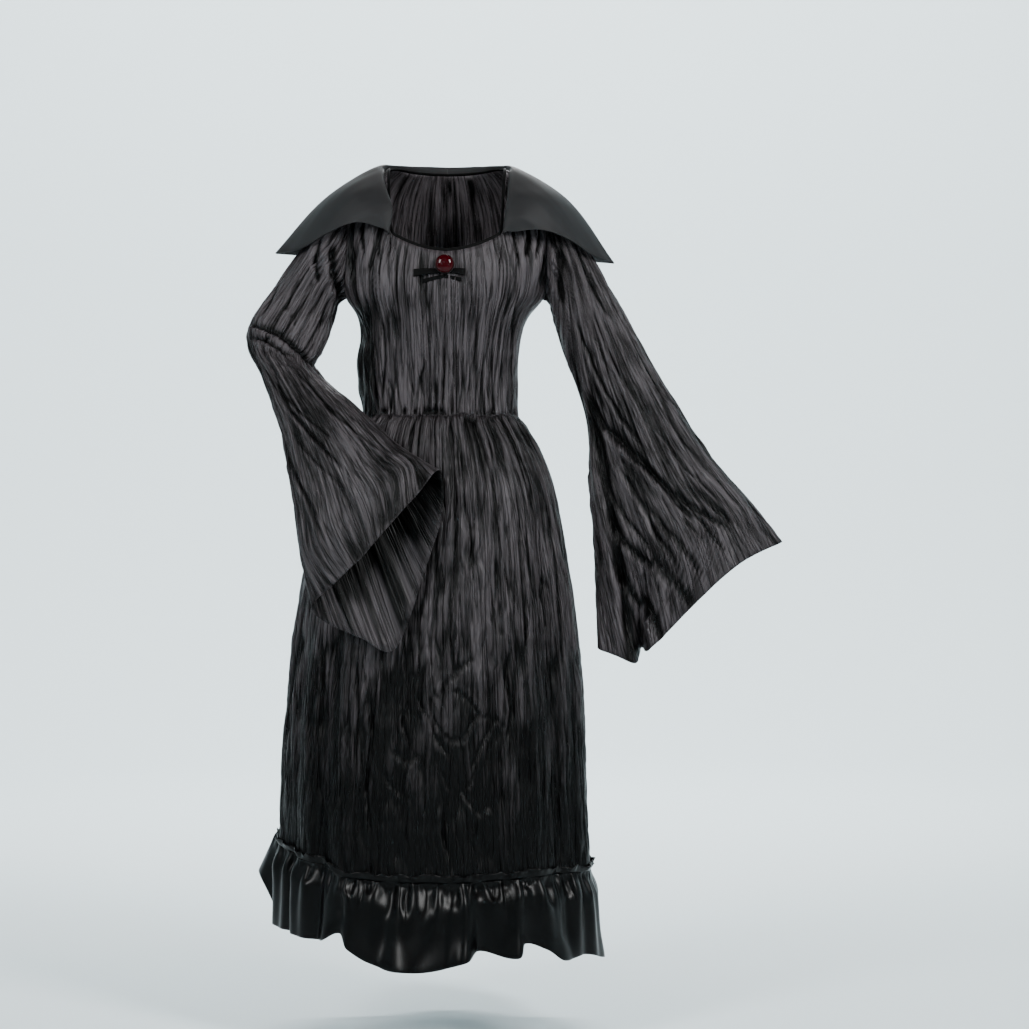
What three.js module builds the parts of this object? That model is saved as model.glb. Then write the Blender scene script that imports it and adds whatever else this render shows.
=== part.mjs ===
// A long black witch's gown, hollow as it is worn: crinkled bodice, skirt and bell sleeves, a pointed
// satin collar, a glossy gathered flounce, and a red brooch on a small ribbon bow.
// Millimetres, +Z up, the front faces -Y, and the wearer's left is +X. The origin lies midway between
// the shoulders, where the wearer's shoulders carry the gown.
import * as THREE from 'three';

const RADIANS = Math.PI / 180;

// Driving sizes
const CLOTH = 2.0; // wall of the crinkled cloth
const SATIN = 1.8; // wall of the flounce and its heading
const COLLAR_WALL = 2.4; // two layers of satin turned right side out
const RIBBON = 0.9;
const SEAM = 0.3; // space left between two pieces that are sewn together
const WAIST_Z = -397;
const ARMPIT_Z = -190;
const BUST_Z = -150; // above this level the body rounds over towards the shoulders
const NECK_X = 104; // half width of the neck opening on the shoulder line
const SHOULDER_PEAK = 58; // the shoulder line falls from here by the square of the distance out
const SHOULDER_FALL = 0.00215;
const SQUARENESS = 2.2; // 2 gives an ellipse, more gives a fuller section
const FRONT_ROUNDING = 2.2; // how fully the chest rounds into the shoulder line
const BACK_ROUNDING = 3.5;
const RISE = 160; // measure of the way from the bust level up to the shoulder line
const TOP_RISE = RISE - 0.15; // a front and a back stop just short of the shoulder line between them
const BODICE_EDGE = 89.94; // and this far round from the middle, in degrees, at the side seams
const SKIRT_EDGE = 89.97;
const SLEEVE_EDGE = 0.0004; // share of the way round that a half of a sleeve leaves free at its edges
const SKIRT_END = -1190; // folds that reach this level run on to the edge
const FOLD_START = 120; // a fold comes in over this length, and dies away over the next
const FOLD_FADE = 60;

// Steps of the meshes
const SIDE_STEPS = 7; // side seam of the bodice, from waist to armpit
const ARM_STEPS = 10; // half an armhole, shared by the bodice and the sleeve sewn to it
const SHOULDER_STEPS = 4;
const NECK_FRONT_STEPS = 16;
const NECK_BACK_STEPS = 12;
const HALF_SKIRT_STEPS = 54;
const GATHERS = 36; // round the waist, the flounce and its heading

// Level sections of the body, from the skirt's edge up to the shoulders: x of both sides, and the
// depth of the front and the back measured from y = 0
const SECTIONS = [
  { z: -1190, right: -288, left: 250, front: 205, back: 206 },
  { z: -1060, right: -283, left: 243, front: 194, back: 198 },
  { z: -900, right: -274, left: 238, front: 178, back: 188 },
  { z: -750, right: -258, left: 225, front: 160, back: 176 },
  { z: -620, right: -232, left: 206, front: 144, back: 165 },
  { z: -520, right: -205, left: 186, front: 132, back: 152 },
  { z: -450, right: -180, left: 158, front: 120, back: 134 },
  { z: -420, right: -163, left: 139, front: 110, back: 114 },
  { z: -397, right: -147, left: 125, front: 98, back: 90 },
  { z: -350, right: -154, left: 124, front: 96, back: 86 },
  { z: -300, right: -156, left: 124, front: 100, back: 88 },
  { z: -255, right: -151, left: 129, front: 106, back: 93 },
  { z: -220, right: -157, left: 143, front: 112, back: 97 },
  { z: -190, right: -176, left: 168, front: 115, back: 100 },
  { z: -150, right: -184, left: 182, front: 114, back: 103 },
  { z: -100, right: -188, left: 190, front: 104, back: 102 },
  { z: -40, right: -196, left: 196, front: 92, back: 96 },
  { z: 60, right: -200, left: 200, front: 80, back: 84 },
];

// Half an armhole from the shoulder (at 0) to the armpit (at 1), the same in front and behind
const ARMHOLE = [
  { at: 0, angle: 60, rise: 160 },
  { at: 0.25, angle: 60, rise: 112 },
  { at: 0.5, angle: 62, rise: 62 },
  { at: 0.75, angle: 69, rise: 10 },
  { at: 0.9, angle: 80, rise: -31 },
  { at: 0.95, angle: 85, rise: -37 },
  { at: 1, angle: 90, rise: ARMPIT_Z - BUST_Z },
];

// Neck opening from the shoulder line (at 0) to the middle (at 1): distance out, and height
const NECK_FRONT = [
  { at: 0.12, x: 103, z: 18 },
  { at: 0.25, x: 101, z: -18 },
  { at: 0.37, x: 100, z: -54 },
  { at: 0.5, x: 96, z: -84 },
  { at: 0.62, x: 78, z: -97 },
  { at: 0.75, x: 53, z: -108 },
  { at: 0.87, x: 27, z: -115 },
  { at: 1, x: 0, z: -118 },
];
const NECK_BACK = [
  { at: 0.2, x: 94, z: 37.5 },
  { at: 0.45, x: 68, z: 36 },
  { at: 0.75, x: 33, z: 33 },
  { at: 1, x: 0, z: 32 },
];

// Long folds that hang in the skirt: where, how wide, how deep (troughs are negative), and their span
const SKIRT_FOLDS = [
  { angle: -84, width: 6, depth: 7, top: -560, bottom: -1190 },
  { angle: -66, width: 5, depth: -9, top: -700, bottom: -1190 },
  { angle: -44, width: 5, depth: -12, top: -680, bottom: -1190 },
  { angle: -33, width: 6, depth: 7, top: -720, bottom: -1190 },
  { angle: -14, width: 6, depth: -6, top: -470, bottom: -800 },
  { angle: 4, width: 6, depth: 6, top: -520, bottom: -1190 },
  { angle: 20, width: 5, depth: -7, top: -620, bottom: -1190 },
  { angle: 38, width: 7, depth: 6, top: -480, bottom: -1190 },
  { angle: 52, width: 5, depth: -9, top: -520, bottom: -1190 },
  { angle: 72, width: 7, depth: 6, top: -600, bottom: -1190 },
  { angle: 106, width: 6, depth: -10, top: -560, bottom: -1190 },
  { angle: 128, width: 7, depth: 8, top: -600, bottom: -1190 },
  { angle: 150, width: 6, depth: -11, top: -500, bottom: -1190 },
  { angle: 172, width: 7, depth: 9, top: -540, bottom: -1190 },
  { angle: 194, width: 6, depth: -10, top: -520, bottom: -1190 },
  { angle: 216, width: 7, depth: 8, top: -620, bottom: -1190 },
  { angle: 238, width: 6, depth: -9, top: -560, bottom: -1190 },
];

// Soft folds of the bodice
const BODICE_FOLDS = [
  { angle: -72, width: 6, depth: -5, top: -210, bottom: -397 },
  { angle: -52, width: 5, depth: 4, top: -180, bottom: -397 },
  { angle: -12, width: 5, depth: -4, top: -260, bottom: -397 },
  { angle: 8, width: 5, depth: 3, top: -270, bottom: -397 },
  { angle: 40, width: 5, depth: -4, top: -190, bottom: -397 },
  { angle: 66, width: 6, depth: 4, top: -200, bottom: -397 },
  { angle: 115, width: 7, depth: -5, top: -200, bottom: -397 },
  { angle: 148, width: 6, depth: 4, top: -170, bottom: -397 },
  { angle: 205, width: 7, depth: -5, top: -190, bottom: -397 },
  { angle: 240, width: 6, depth: 4, top: -200, bottom: -397 },
];

// Edge of the skirt and of the flounce, once round: seam height, hem height, and how far the flounce
// stands out at its hem. The edge is caught up behind the wearer's right side.
const EDGE = [
  { angle: -109, seam: -1092, hem: -1200, out: 62 },
  { angle: -99, seam: -1106, hem: -1206, out: 50 },
  { angle: -92, seam: -1126, hem: -1264, out: 14 },
  { angle: -80, seam: -1140, hem: -1278, out: 12 },
  { angle: -62, seam: -1150, hem: -1282, out: 14 },
  { angle: -40, seam: -1164, hem: -1286, out: 14 },
  { angle: -31, seam: -1176, hem: -1270, out: 10 },
  { angle: -27, seam: -1178, hem: -1295, out: 24 },
  { angle: -15, seam: -1182, hem: -1322, out: 26 },
  { angle: -5, seam: -1183, hem: -1328, out: 44 },
  { angle: 3, seam: -1183, hem: -1323, out: 22 },
  { angle: 9, seam: -1183, hem: -1313, out: 30 },
  { angle: 14, seam: -1183, hem: -1297, out: 12 },
  { angle: 27, seam: -1180, hem: -1310, out: 28 },
  { angle: 31, seam: -1179, hem: -1288, out: 12 },
  { angle: 39, seam: -1177, hem: -1299, out: 18 },
  { angle: 48, seam: -1177, hem: -1322, out: 26 },
  { angle: 64, seam: -1180, hem: -1320, out: 14 },
  { angle: 81, seam: -1182, hem: -1335, out: 22 },
  { angle: 92, seam: -1183, hem: -1330, out: 16 },
  { angle: 110, seam: -1185, hem: -1322, out: 12 },
  { angle: 132, seam: -1186, hem: -1334, out: 30 },
  { angle: 156, seam: -1187, hem: -1318, out: 14 },
  { angle: 178, seam: -1186, hem: -1330, out: 30 },
  { angle: 200, seam: -1176, hem: -1306, out: 14 },
  { angle: 222, seam: -1140, hem: -1270, out: 34 },
  { angle: 238, seam: -1108, hem: -1222, out: 30 },
];
const WAIST_GATHER = 3.5; // depth of the gathers, from their middle to their crests
const FLOUNCE_PUFF = 9; // the satin swells this far just below its gathers
const FLOUNCE_GATHER = 4.5;
const HEADING_HEIGHT = 13;
const HEADING_RUFFLE = 4;
const HEADING_GAP = 0.5; // between the heading and the skirt behind it

// Sleeves, section by section from the shoulder down. Each section is an oval between an outer and an
// inner point of the outline, with half its depth from front to back.
const RIGHT_SLEEVE = {
  side: -1,
  sections: [
    { outer: [-211, 0, -52], inner: [-190, 0, -197], depth: 60 },
    { outer: [-251, -2, -104], inner: [-195, -2, -214], depth: 60 },
    { outer: [-306, -12, -182], inner: [-205, -9, -251], depth: 57 },
    { outer: [-342, -29, -238], inner: [-219, -24, -288], depth: 54 },
    { outer: [-344, -42, -276], inner: [-229, -40, -310], depth: 52 },
    { outer: [-323, -64, -318], inner: [-212, -62, -332], depth: 49 },
    { outer: [-301, -87, -370], inner: [-185, -84, -357], depth: 46 },
    { outer: [-281, -107, -424], inner: [-152, -110, -385], depth: 44 },
    { outer: [-268, -128, -488], inner: [-114, -140, -419], depth: 42 },
    { outer: [-254, -150, -560], inner: [-77, -168, -451], depth: 40 },
    { outer: [-241, -168, -642], inner: [-42, -188, -474], depth: 40 },
  ],
  // the wide cuff, round from the outer corner by the front edge and back by the longer rear edge
  cuff: [
    { around: 0, x: -224, y: -182, z: -726 },
    { around: 0.1, x: -183, y: -208, z: -684 },
    { around: 0.2, x: -142, y: -226, z: -642 },
    { around: 0.3, x: -98, y: -234, z: -596 },
    { around: 0.4, x: -48, y: -230, z: -540 },
    { around: 0.5, x: -7, y: -204, z: -494 },
    { around: 0.6, x: -4, y: -178, z: -570 },
    { around: 0.7, x: -38, y: -171, z: -672 },
    { around: 0.78, x: -82, y: -190, z: -792 },
    { around: 0.86, x: -136, y: -186, z: -779 },
    { around: 0.94, x: -190, y: -172, z: -757 },
  ],
  folds: [
    { around: 0.2, width: 0.05, from: 0.5, depth: -7 },
    { around: 0.36, width: 0.05, from: 0.45, depth: 6 },
    { around: 0.72, width: 0.06, from: 0.6, depth: 6 },
    { around: 0.9, width: 0.05, from: 0.5, depth: -8 },
  ],
};
const LEFT_SLEEVE = {
  side: 1,
  sections: [
    { outer: [211, 0, -54], inner: [181, 0, -198], depth: 60 },
    { outer: [250, -2, -112], inner: [187, -3, -228], depth: 58 },
    { outer: [307, -8, -212], inner: [203, -9, -284], depth: 54 },
    { outer: [357, -14, -306], inner: [227, -13, -346], depth: 51 },
    { outer: [398, -18, -371], inner: [244, -18, -408], depth: 51 },
    { outer: [442, -24, -440], inner: [250, -24, -486], depth: 53 },
    { outer: [488, -30, -499], inner: [255, -31, -576], depth: 56 },
    { outer: [536, -36, -556], inner: [259, -36, -688], depth: 58 },
  ],
  cuff: [
    { around: 0, x: 582, y: -40, z: -616 },
    { around: 0.1, x: 508, y: -82, z: -651 },
    { around: 0.2, x: 424, y: -97, z: -724 },
    { around: 0.3, x: 348, y: -88, z: -801 },
    { around: 0.35, x: 334, y: -46, z: -803 },
    { around: 0.4, x: 326, y: -84, z: -824 },
    { around: 0.45, x: 292, y: -74, z: -811 },
    { around: 0.5, x: 262, y: -52, z: -799 },
    { around: 0.6, x: 286, y: -2, z: -784 },
    { around: 0.72, x: 368, y: 22, z: -744 },
    { around: 0.84, x: 462, y: 14, z: -676 },
    { around: 0.93, x: 534, y: -8, z: -636 },
  ],
  folds: [
    { around: 0.14, width: 0.05, from: 0.35, depth: -8 },
    { around: 0.24, width: 0.05, from: 0.4, depth: 6 },
    { around: 0.35, width: 0.04, from: 0.4, depth: -16 },
    { around: 0.66, width: 0.06, from: 0.45, depth: -9 },
    { around: 0.84, width: 0.06, from: 0.4, depth: 7 },
  ],
};
const SLEEVE_STEPS = 15;
const ARMHOLE_GAP = 2; // from the middle of the bodice's wall to the middle of the sleeve's
const ARMPIT_LIFT = 1.4;
const HEAD_GATHERS = 14; // small gathers round the sleeve's head
const HEAD_GATHER = 3;

// Collar wings, from the front corner of the neck (at 0) over the shoulder to the middle of the back:
// where the cloth rolls over, the middle of the fall, and its free edge. The tip is station 4.
const TIP = 4;
const COLLAR_GAP = 0.4;
const CENTRE_GAP = 0.5; // from the middle of the back to the end of a wing
const RIGHT_COLLAR = [
  { neck: 0.5, roll: [-98, -95, -85], fall: [-104, -97, -80], edge: [-110, -97, -77] },
  { neck: 0.36, roll: [-92, -88, -44], fall: [-118, -96, -48], edge: [-152, -93, -67] },
  { neck: 0.2, roll: [-106, -64, -3], fall: [-152, -80, -24], edge: [-203, -76, -84] },
  { neck: 0.08, roll: [-117, -32, 27], fall: [-182, -48, -10], edge: [-252, -47, -108] },
  { neck: 0, roll: [-110, 0, 42], fall: [-208, 4, -10], edge: [-301, -8, -112] },
  { neck: -0.3, roll: [-88, 38, 47], fall: [-160, 66, 2], edge: [-226, 84, -108] },
  { neck: -0.65, roll: [-46, 62, 48], fall: [-86, 100, 6], edge: [-124, 126, -104] },
  { neck: -1, roll: [-CENTRE_GAP, 72, 48], fall: [-CENTRE_GAP, 112, 8], edge: [-CENTRE_GAP, 138, -100] },
];
const LEFT_COLLAR = [
  { neck: 0.5, roll: [99, -95, -86], fall: [106, -97, -83], edge: [113, -97, -84] },
  { neck: 0.36, roll: [104, -90, -48], fall: [128, -98, -54], edge: [162, -94, -80] },
  { neck: 0.2, roll: [112, -66, -6], fall: [158, -82, -30], edge: [210, -74, -94] },
  { neck: 0.08, roll: [119, -33, 25], fall: [186, -49, -16], edge: [252, -48, -118] },
  { neck: 0, roll: [112, 0, 40], fall: [208, 4, -16], edge: [293, -12, -130] },
  { neck: -0.3, roll: [90, 38, 46], fall: [162, 66, 0], edge: [226, 84, -116] },
  { neck: -0.65, roll: [48, 62, 48], fall: [88, 100, 5], edge: [124, 126, -106] },
  { neck: -1, roll: [CENTRE_GAP, 72, 48], fall: [CENTRE_GAP, 112, 8], edge: [CENTRE_GAP, 138, -100] },
];
const COLLAR_STEPS = 21;
const COLLAR_ROWS = 7;
const STAND_SET_IN = 5; // the collar is sewn this far below the neck edge

const BINDING_WIDTH = 5;
const BINDING_WALL = 2.4;
const BINDING_GAP = 0.55; // to the cut edge beside it, whose facets differ from its own

// Brooch and bow
const BROOCH_X = -1;
const BROOCH_Z = -141;
const SETTING_RADIUS = 17;
const SETTING_HEIGHT = 3.2;
const GEM_RADIUS = 15.4;
const GEM_HEIGHT = 9;
const GIRDLE = 1.2; // straight edge of the stone and of its setting
const BOW_Z = -152;
const BOW_DEPTH = 4.4; // how far the bow stands off the bodice
const BOW_GAP = 0.9; // from the bodice to the middle of the ribbon next to it
const LOOP_FRONT = 3.7; // and to the middle of the ribbon that folds back over it

const crinkled = new THREE.MeshStandardMaterial({ color: 0x2c2a2d, roughness: 0.55, metalness: 0 });
const matteSatin = new THREE.MeshStandardMaterial({ color: 0x2e2e30, roughness: 0.45, metalness: 0 });
const glossySatin = new THREE.MeshStandardMaterial({ color: 0x0a0a0c, roughness: 0.25, metalness: 0 });
const trim = new THREE.MeshStandardMaterial({ color: 0x121214, roughness: 0.6, metalness: 0 });
const darkMetal = new THREE.MeshStandardMaterial({ color: 0x201a18, roughness: 0.4, metalness: 0.8 });
const ruby = new THREE.MeshStandardMaterial({ color: 0x5a0006, roughness: 0.05, metalness: 0 });

// Reading tables

function mix(a, b, t) {
  return a + (b - a) * t;
}

function smoothStep(from, to, x) {
  const t = Math.min(Math.max((x - from) / (to - from), 0), 1);
  return t * t * (3 - 2 * t);
}

// The value of one column where the column `by`, which rises row by row, equals x: a smooth curve
function read(rows, by, x, column) {
  const last = rows.length - 1;
  const at = Math.min(Math.max(x, rows[0][by]), rows[last][by]);
  let i = 0;
  while (i < last - 1 && rows[i + 1][by] < at) {
    i += 1;
  }
  const slope = (k) => {
    const before = rows[Math.max(k - 1, 0)];
    const after = rows[Math.min(k + 1, last)];
    return (after[column] - before[column]) / (after[by] - before[by]);
  };
  const width = rows[i + 1][by] - rows[i][by];
  const t = (at - rows[i][by]) / width;
  const s = 1 - t;
  const values = rows[i][column] * (1 + 2 * t) * s * s + rows[i + 1][column] * (1 + 2 * s) * t * t;
  return values + width * t * s * (slope(i) * s - slope(i + 1) * t);
}

// The same for a table that goes once round, with `turn` for one whole turn
function readRound(rows, by, x, column, turn) {
  const first = rows[0];
  const last = rows[rows.length - 1];
  const before = { ...last, [by]: last[by] - turn };
  const after = { ...first, [by]: first[by] + turn };
  const second = { ...rows[1], [by]: rows[1][by] + turn };
  const at = first[by] + ((((x - first[by]) % turn) + turn) % turn);
  return read([before, ...rows, after, second], by, at, column);
}

function foldDepth(folds, angle, z) {
  let depth = 0;
  for (const fold of folds) {
    const away = ((angle - fold.angle + 540) % 360) - 180;
    const across = Math.exp(-((away / fold.width) ** 2));
    const down = smoothStep(fold.top, fold.top - FOLD_START, z);
    const end = fold.bottom > SKIRT_END ? smoothStep(fold.bottom, fold.bottom + FOLD_FADE, z) : 1;
    depth += fold.depth * across * down * end;
  }
  return depth;
}

// The body's form

function shoulderHeight(x) {
  return SHOULDER_PEAK - SHOULDER_FALL * x * x;
}

function power(value, exponent) {
  return Math.sign(value) * Math.abs(value) ** exponent;
}

// A level point of the body: degrees round from the middle of the front, towards the wearer's left
function levelPoint(angle, z) {
  const right = read(SECTIONS, 'z', z, 'right');
  const left = read(SECTIONS, 'z', z, 'left');
  const ahead = Math.cos(angle * RADIANS);
  const depth = read(SECTIONS, 'z', z, ahead > 0 ? 'front' : 'back');
  const x = (left + right) / 2 + ((left - right) / 2) * power(Math.sin(angle * RADIANS), 2 / SQUARENESS);
  return new THREE.Vector3(x, -depth * power(ahead, 2 / SQUARENESS), z);
}

// A point of the trunk: `rise` is the height over the bust level below it, and above it measures the
// way up and over to the shoulder line, where it is RISE
function trunkPoint(angle, rise) {
  if (rise <= 0) {
    return levelPoint(angle, BUST_Z + rise);
  }
  const rounding = Math.abs(angle) < 90 ? FRONT_ROUNDING : BACK_ROUNDING;
  const turn = (rise / RISE) * 90 * RADIANS;
  const share = Math.sin(turn) ** (2 / rounding);
  const guess = levelPoint(angle, mix(BUST_Z, shoulderHeight(NECK_X), share));
  const z = mix(BUST_Z, shoulderHeight(guess.x), share);
  const point = levelPoint(angle, z);
  point.y *= Math.cos(turn) ** (2 / rounding);
  return point;
}

// Where the height z at the distance x out lies on the trunk
function trunkPlace(x, z, back) {
  const right = read(SECTIONS, 'z', z, 'right');
  const left = read(SECTIONS, 'z', z, 'left');
  const share = Math.min(Math.abs(x - (left + right) / 2) / ((left - right) / 2), 1);
  const angle = Math.asin(share ** (SQUARENESS / 2)) / RADIANS;
  const rounding = back ? BACK_ROUNDING : FRONT_ROUNDING;
  const height = Math.min((z - BUST_Z) / (shoulderHeight(x) - BUST_Z), 1);
  const rise = height <= 0 ? z - BUST_Z : (Math.asin(height ** (rounding / 2)) / RADIANS / 90) * RISE;
  return { angle, rise };
}

// Angle of a place on the front (back = false) or the back, on the wearer's left (side = 1) or right
function faceAngle(angle, side, back) {
  return back ? side * (180 - angle) : side * angle;
}

// The neck opening as places on the trunk. `neck` runs from 0 at the shoulder line to 1 at the middle
// of the front, or to -1 at the middle of the back, where it starts at SHOULDER_BEHIND.
const SHOULDER_BEHIND = -1e-9;

function neckPlace(neck, side) {
  const back = neck < 0;
  const start = { at: 0, angle: trunkPlace(NECK_X, shoulderHeight(NECK_X), back).angle, rise: TOP_RISE };
  const table = [start];
  for (const row of back ? NECK_BACK : NECK_FRONT) {
    table.push({ at: row.at, ...trunkPlace(row.x, row.z, back) });
  }
  const at = Math.abs(neck);
  return {
    angle: faceAngle(read(table, 'at', at, 'angle'), side, back),
    rise: read(table, 'at', at, 'rise'),
  };
}

function armholePlace(at, side, back) {
  return {
    angle: faceAngle(read(ARMHOLE, 'at', at, 'angle'), side, back),
    rise: Math.min(read(ARMHOLE, 'at', at, 'rise'), TOP_RISE),
  };
}

// Walls

function closedMesh(name, material, points, triangles) {
  let volume = 0;
  for (const [a, b, c] of triangles) {
    volume += points[a].dot(points[b].clone().cross(points[c]));
  }
  const faces = volume > 0 ? triangles : triangles.map(([a, b, c]) => [a, c, b]);
  const geometry = new THREE.BufferGeometry().setFromPoints(points);
  geometry.setIndex(faces.flat());
  geometry.computeVertexNormals();
  const mesh = new THREE.Mesh(geometry, material);
  mesh.name = name;
  return mesh;
}

// Direction across the surface at (u, v), from its slopes. A surface that goes on past the sides of a
// piece, as round a tube, is followed past them, so that two pieces meet squarely at their seam.
function across(surface, u, v, goesOn) {
  const step = 0.0005;
  const inside = (value) => Math.min(Math.max(value, 0), 1);
  const at = (a, b) => surface(goesOn ? a : inside(a), inside(b));
  const round = at(u + step, v).sub(at(u - step, v));
  const along = at(u, v + step).sub(at(u, v - step));
  return round.cross(along);
}

// A sheet of even thickness: points of its two faces over a grid, sewn together round the rim
function wall(name, material, surface, form) {
  const { columns, rows, thickness, goesOn = false } = form;
  const [first, end] = form.u ?? [0, 1];
  const spread = form.spread ?? ((t) => t);
  const level = form.level ?? ((v) => false); // where the rim lies level, to meet the next piece
  const points = [];
  for (const side of [0.5, -0.5]) {
    for (let j = 0; j <= rows; j += 1) {
      for (let i = 0; i <= columns; i += 1) {
        const u = mix(first, end, i / columns);
        const v = spread(j / rows);
        const out = across(surface, u, v, goesOn);
        out.z = level(v) ? 0 : out.z;
        points.push(surface(u, v).addScaledVector(out.normalize(), side * thickness));
      }
    }
  }
  const back = (rows + 1) * (columns + 1);
  const at = (i, j) => j * (columns + 1) + i;
  const triangles = [];
  const quad = (a, b, c, d) => triangles.push([a, b, c], [a, c, d]);
  for (let j = 0; j < rows; j += 1) {
    for (let i = 0; i < columns; i += 1) {
      quad(at(i, j), at(i + 1, j), at(i + 1, j + 1), at(i, j + 1));
      quad(back + at(i, j), back + at(i, j + 1), back + at(i + 1, j + 1), back + at(i + 1, j));
    }
  }
  for (let i = 0; i < columns; i += 1) {
    quad(at(i, 0), back + at(i, 0), back + at(i + 1, 0), at(i + 1, 0));
    quad(at(i, rows), at(i + 1, rows), back + at(i + 1, rows), back + at(i, rows));
  }
  for (let j = 0; j < rows; j += 1) {
    quad(at(0, j), at(0, j + 1), back + at(0, j + 1), back + at(0, j));
    quad(at(columns, j), back + at(columns, j), back + at(columns, j + 1), at(columns, j + 1));
  }
  return closedMesh(name, material, points, triangles);
}

function outwardAt(angle) {
  return new THREE.Vector3(Math.sin(angle * RADIANS), -Math.cos(angle * RADIANS), 0);
}

// Bodice

// One panel as a patch between its waist seam, its side and armhole edges, and the shoulder and neck
function bodicePanel(name, back) {
  const neckSteps = back ? NECK_BACK_STEPS : NECK_FRONT_STEPS;
  const columns = neckSteps + 2 * SHOULDER_STEPS;
  const rows = SIDE_STEPS + ARM_STEPS;
  const waist = { angle: BODICE_EDGE, rise: WAIST_Z + SEAM / 2 - BUST_Z };
  const sideEdge = (v) => {
    const step = v * rows;
    if (step <= SIDE_STEPS) {
      return { angle: BODICE_EDGE, rise: mix(waist.rise, ARMPIT_Z - BUST_Z, step / SIDE_STEPS) };
    }
    const place = armholePlace(1 - (step - SIDE_STEPS) / ARM_STEPS, 1, false);
    return { angle: Math.min(place.angle, BODICE_EDGE), rise: place.rise };
  };
  const topEdge = (u) => {
    const step = Math.min(u, 1 - u) * columns;
    if (step <= SHOULDER_STEPS) {
      const tip = armholePlace(0, 1, false);
      const neck = neckPlace(back ? SHOULDER_BEHIND : 0, 1);
      const neckAngle = back ? 180 - neck.angle : neck.angle;
      return { angle: mix(tip.angle, neckAngle, step / SHOULDER_STEPS), rise: tip.rise };
    }
    const along = (step - SHOULDER_STEPS) / (columns / 2 - SHOULDER_STEPS);
    const place = neckPlace(back ? -along : along, 1);
    return { angle: back ? 180 - place.angle : place.angle, rise: place.rise };
  };
  const surface = (u, v) => {
    const side = u < 0.5 ? -1 : 1;
    const top = topEdge(u);
    const edge = sideEdge(v);
    const corner = topEdge(0);
    const signedTop = side * top.angle;
    const swing = 2 * u - 1;
    // bottom and top edges, then the bulge of the side edges over the straight line of their corners
    const straight = mix(waist.angle, corner.angle, v);
    const angle = mix(swing * waist.angle, signedTop, v) + swing * (edge.angle - straight);
    const rise = mix(waist.rise, top.rise, v) + edge.rise - mix(waist.rise, corner.rise, v);
    const placed = back ? 180 - angle : angle;
    const point = trunkPoint(placed, Math.min(rise, TOP_RISE));
    return point.addScaledVector(outwardAt(placed), foldDepth(BODICE_FOLDS, placed, point.z));
  };
  return wall(name, crinkled, surface, { columns, rows, thickness: CLOTH, level: (v) => v === 0 });
}

// Skirt, flounce and heading

function edgeValue(angle, column) {
  return readRound(EDGE, 'angle', angle, column, 360);
}

function gatherWave(angle) {
  const uneven = 0.75 + 0.25 * Math.sin(angle * 5 * RADIANS + 1);
  return uneven * Math.cos(angle * GATHERS * RADIANS);
}

function skirtPoint(angle, z) {
  const below = WAIST_Z - z;
  const gathered = smoothStep(0, 22, below) * (1 - smoothStep(40, 190, below));
  const depth = foldDepth(SKIRT_FOLDS, angle, z) + WAIST_GATHER * gathered * gatherWave(angle);
  return levelPoint(angle, z).addScaledVector(outwardAt(angle), depth);
}

function flouncePoint(angle, v) {
  const seam = edgeValue(angle, 'seam');
  const height = mix(seam - SEAM / 2, edgeValue(angle, 'hem'), v);
  const puff = FLOUNCE_PUFF * smoothStep(0, 0.3, v) + (edgeValue(angle, 'out') - FLOUNCE_PUFF) * v;
  const gather = FLOUNCE_GATHER * smoothStep(0, 0.2, v) * (1 - 0.7 * v) * gatherWave(angle);
  const point = skirtPoint(angle, seam).addScaledVector(outwardAt(angle), puff + gather);
  point.z = height;
  return point;
}

function headingPoint(angle, v) {
  const height = edgeValue(angle, 'seam') + SEAM / 2 + v * HEADING_HEIGHT;
  const ruffle = v * HEADING_RUFFLE * (1 + gatherWave(angle));
  const clear = CLOTH / 2 + SATIN / 2 + HEADING_GAP;
  const point = skirtPoint(angle, height).addScaledVector(outwardAt(angle), clear + ruffle);
  point.z = height;
  return point;
}

function halfRing(name, material, ring, back, form) {
  const surface = (u, v) => ring(mix(-SKIRT_EDGE, SKIRT_EDGE, u) + (back ? 180 : 0), v);
  const round = { columns: HALF_SKIRT_STEPS, goesOn: true, level: () => true };
  return wall(name, material, surface, { ...round, ...form });
}

function skirt(angle, v) {
  return skirtPoint(angle, mix(WAIST_Z - SEAM / 2, edgeValue(angle, 'seam') + SEAM / 2, v));
}

// Sleeves

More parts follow.
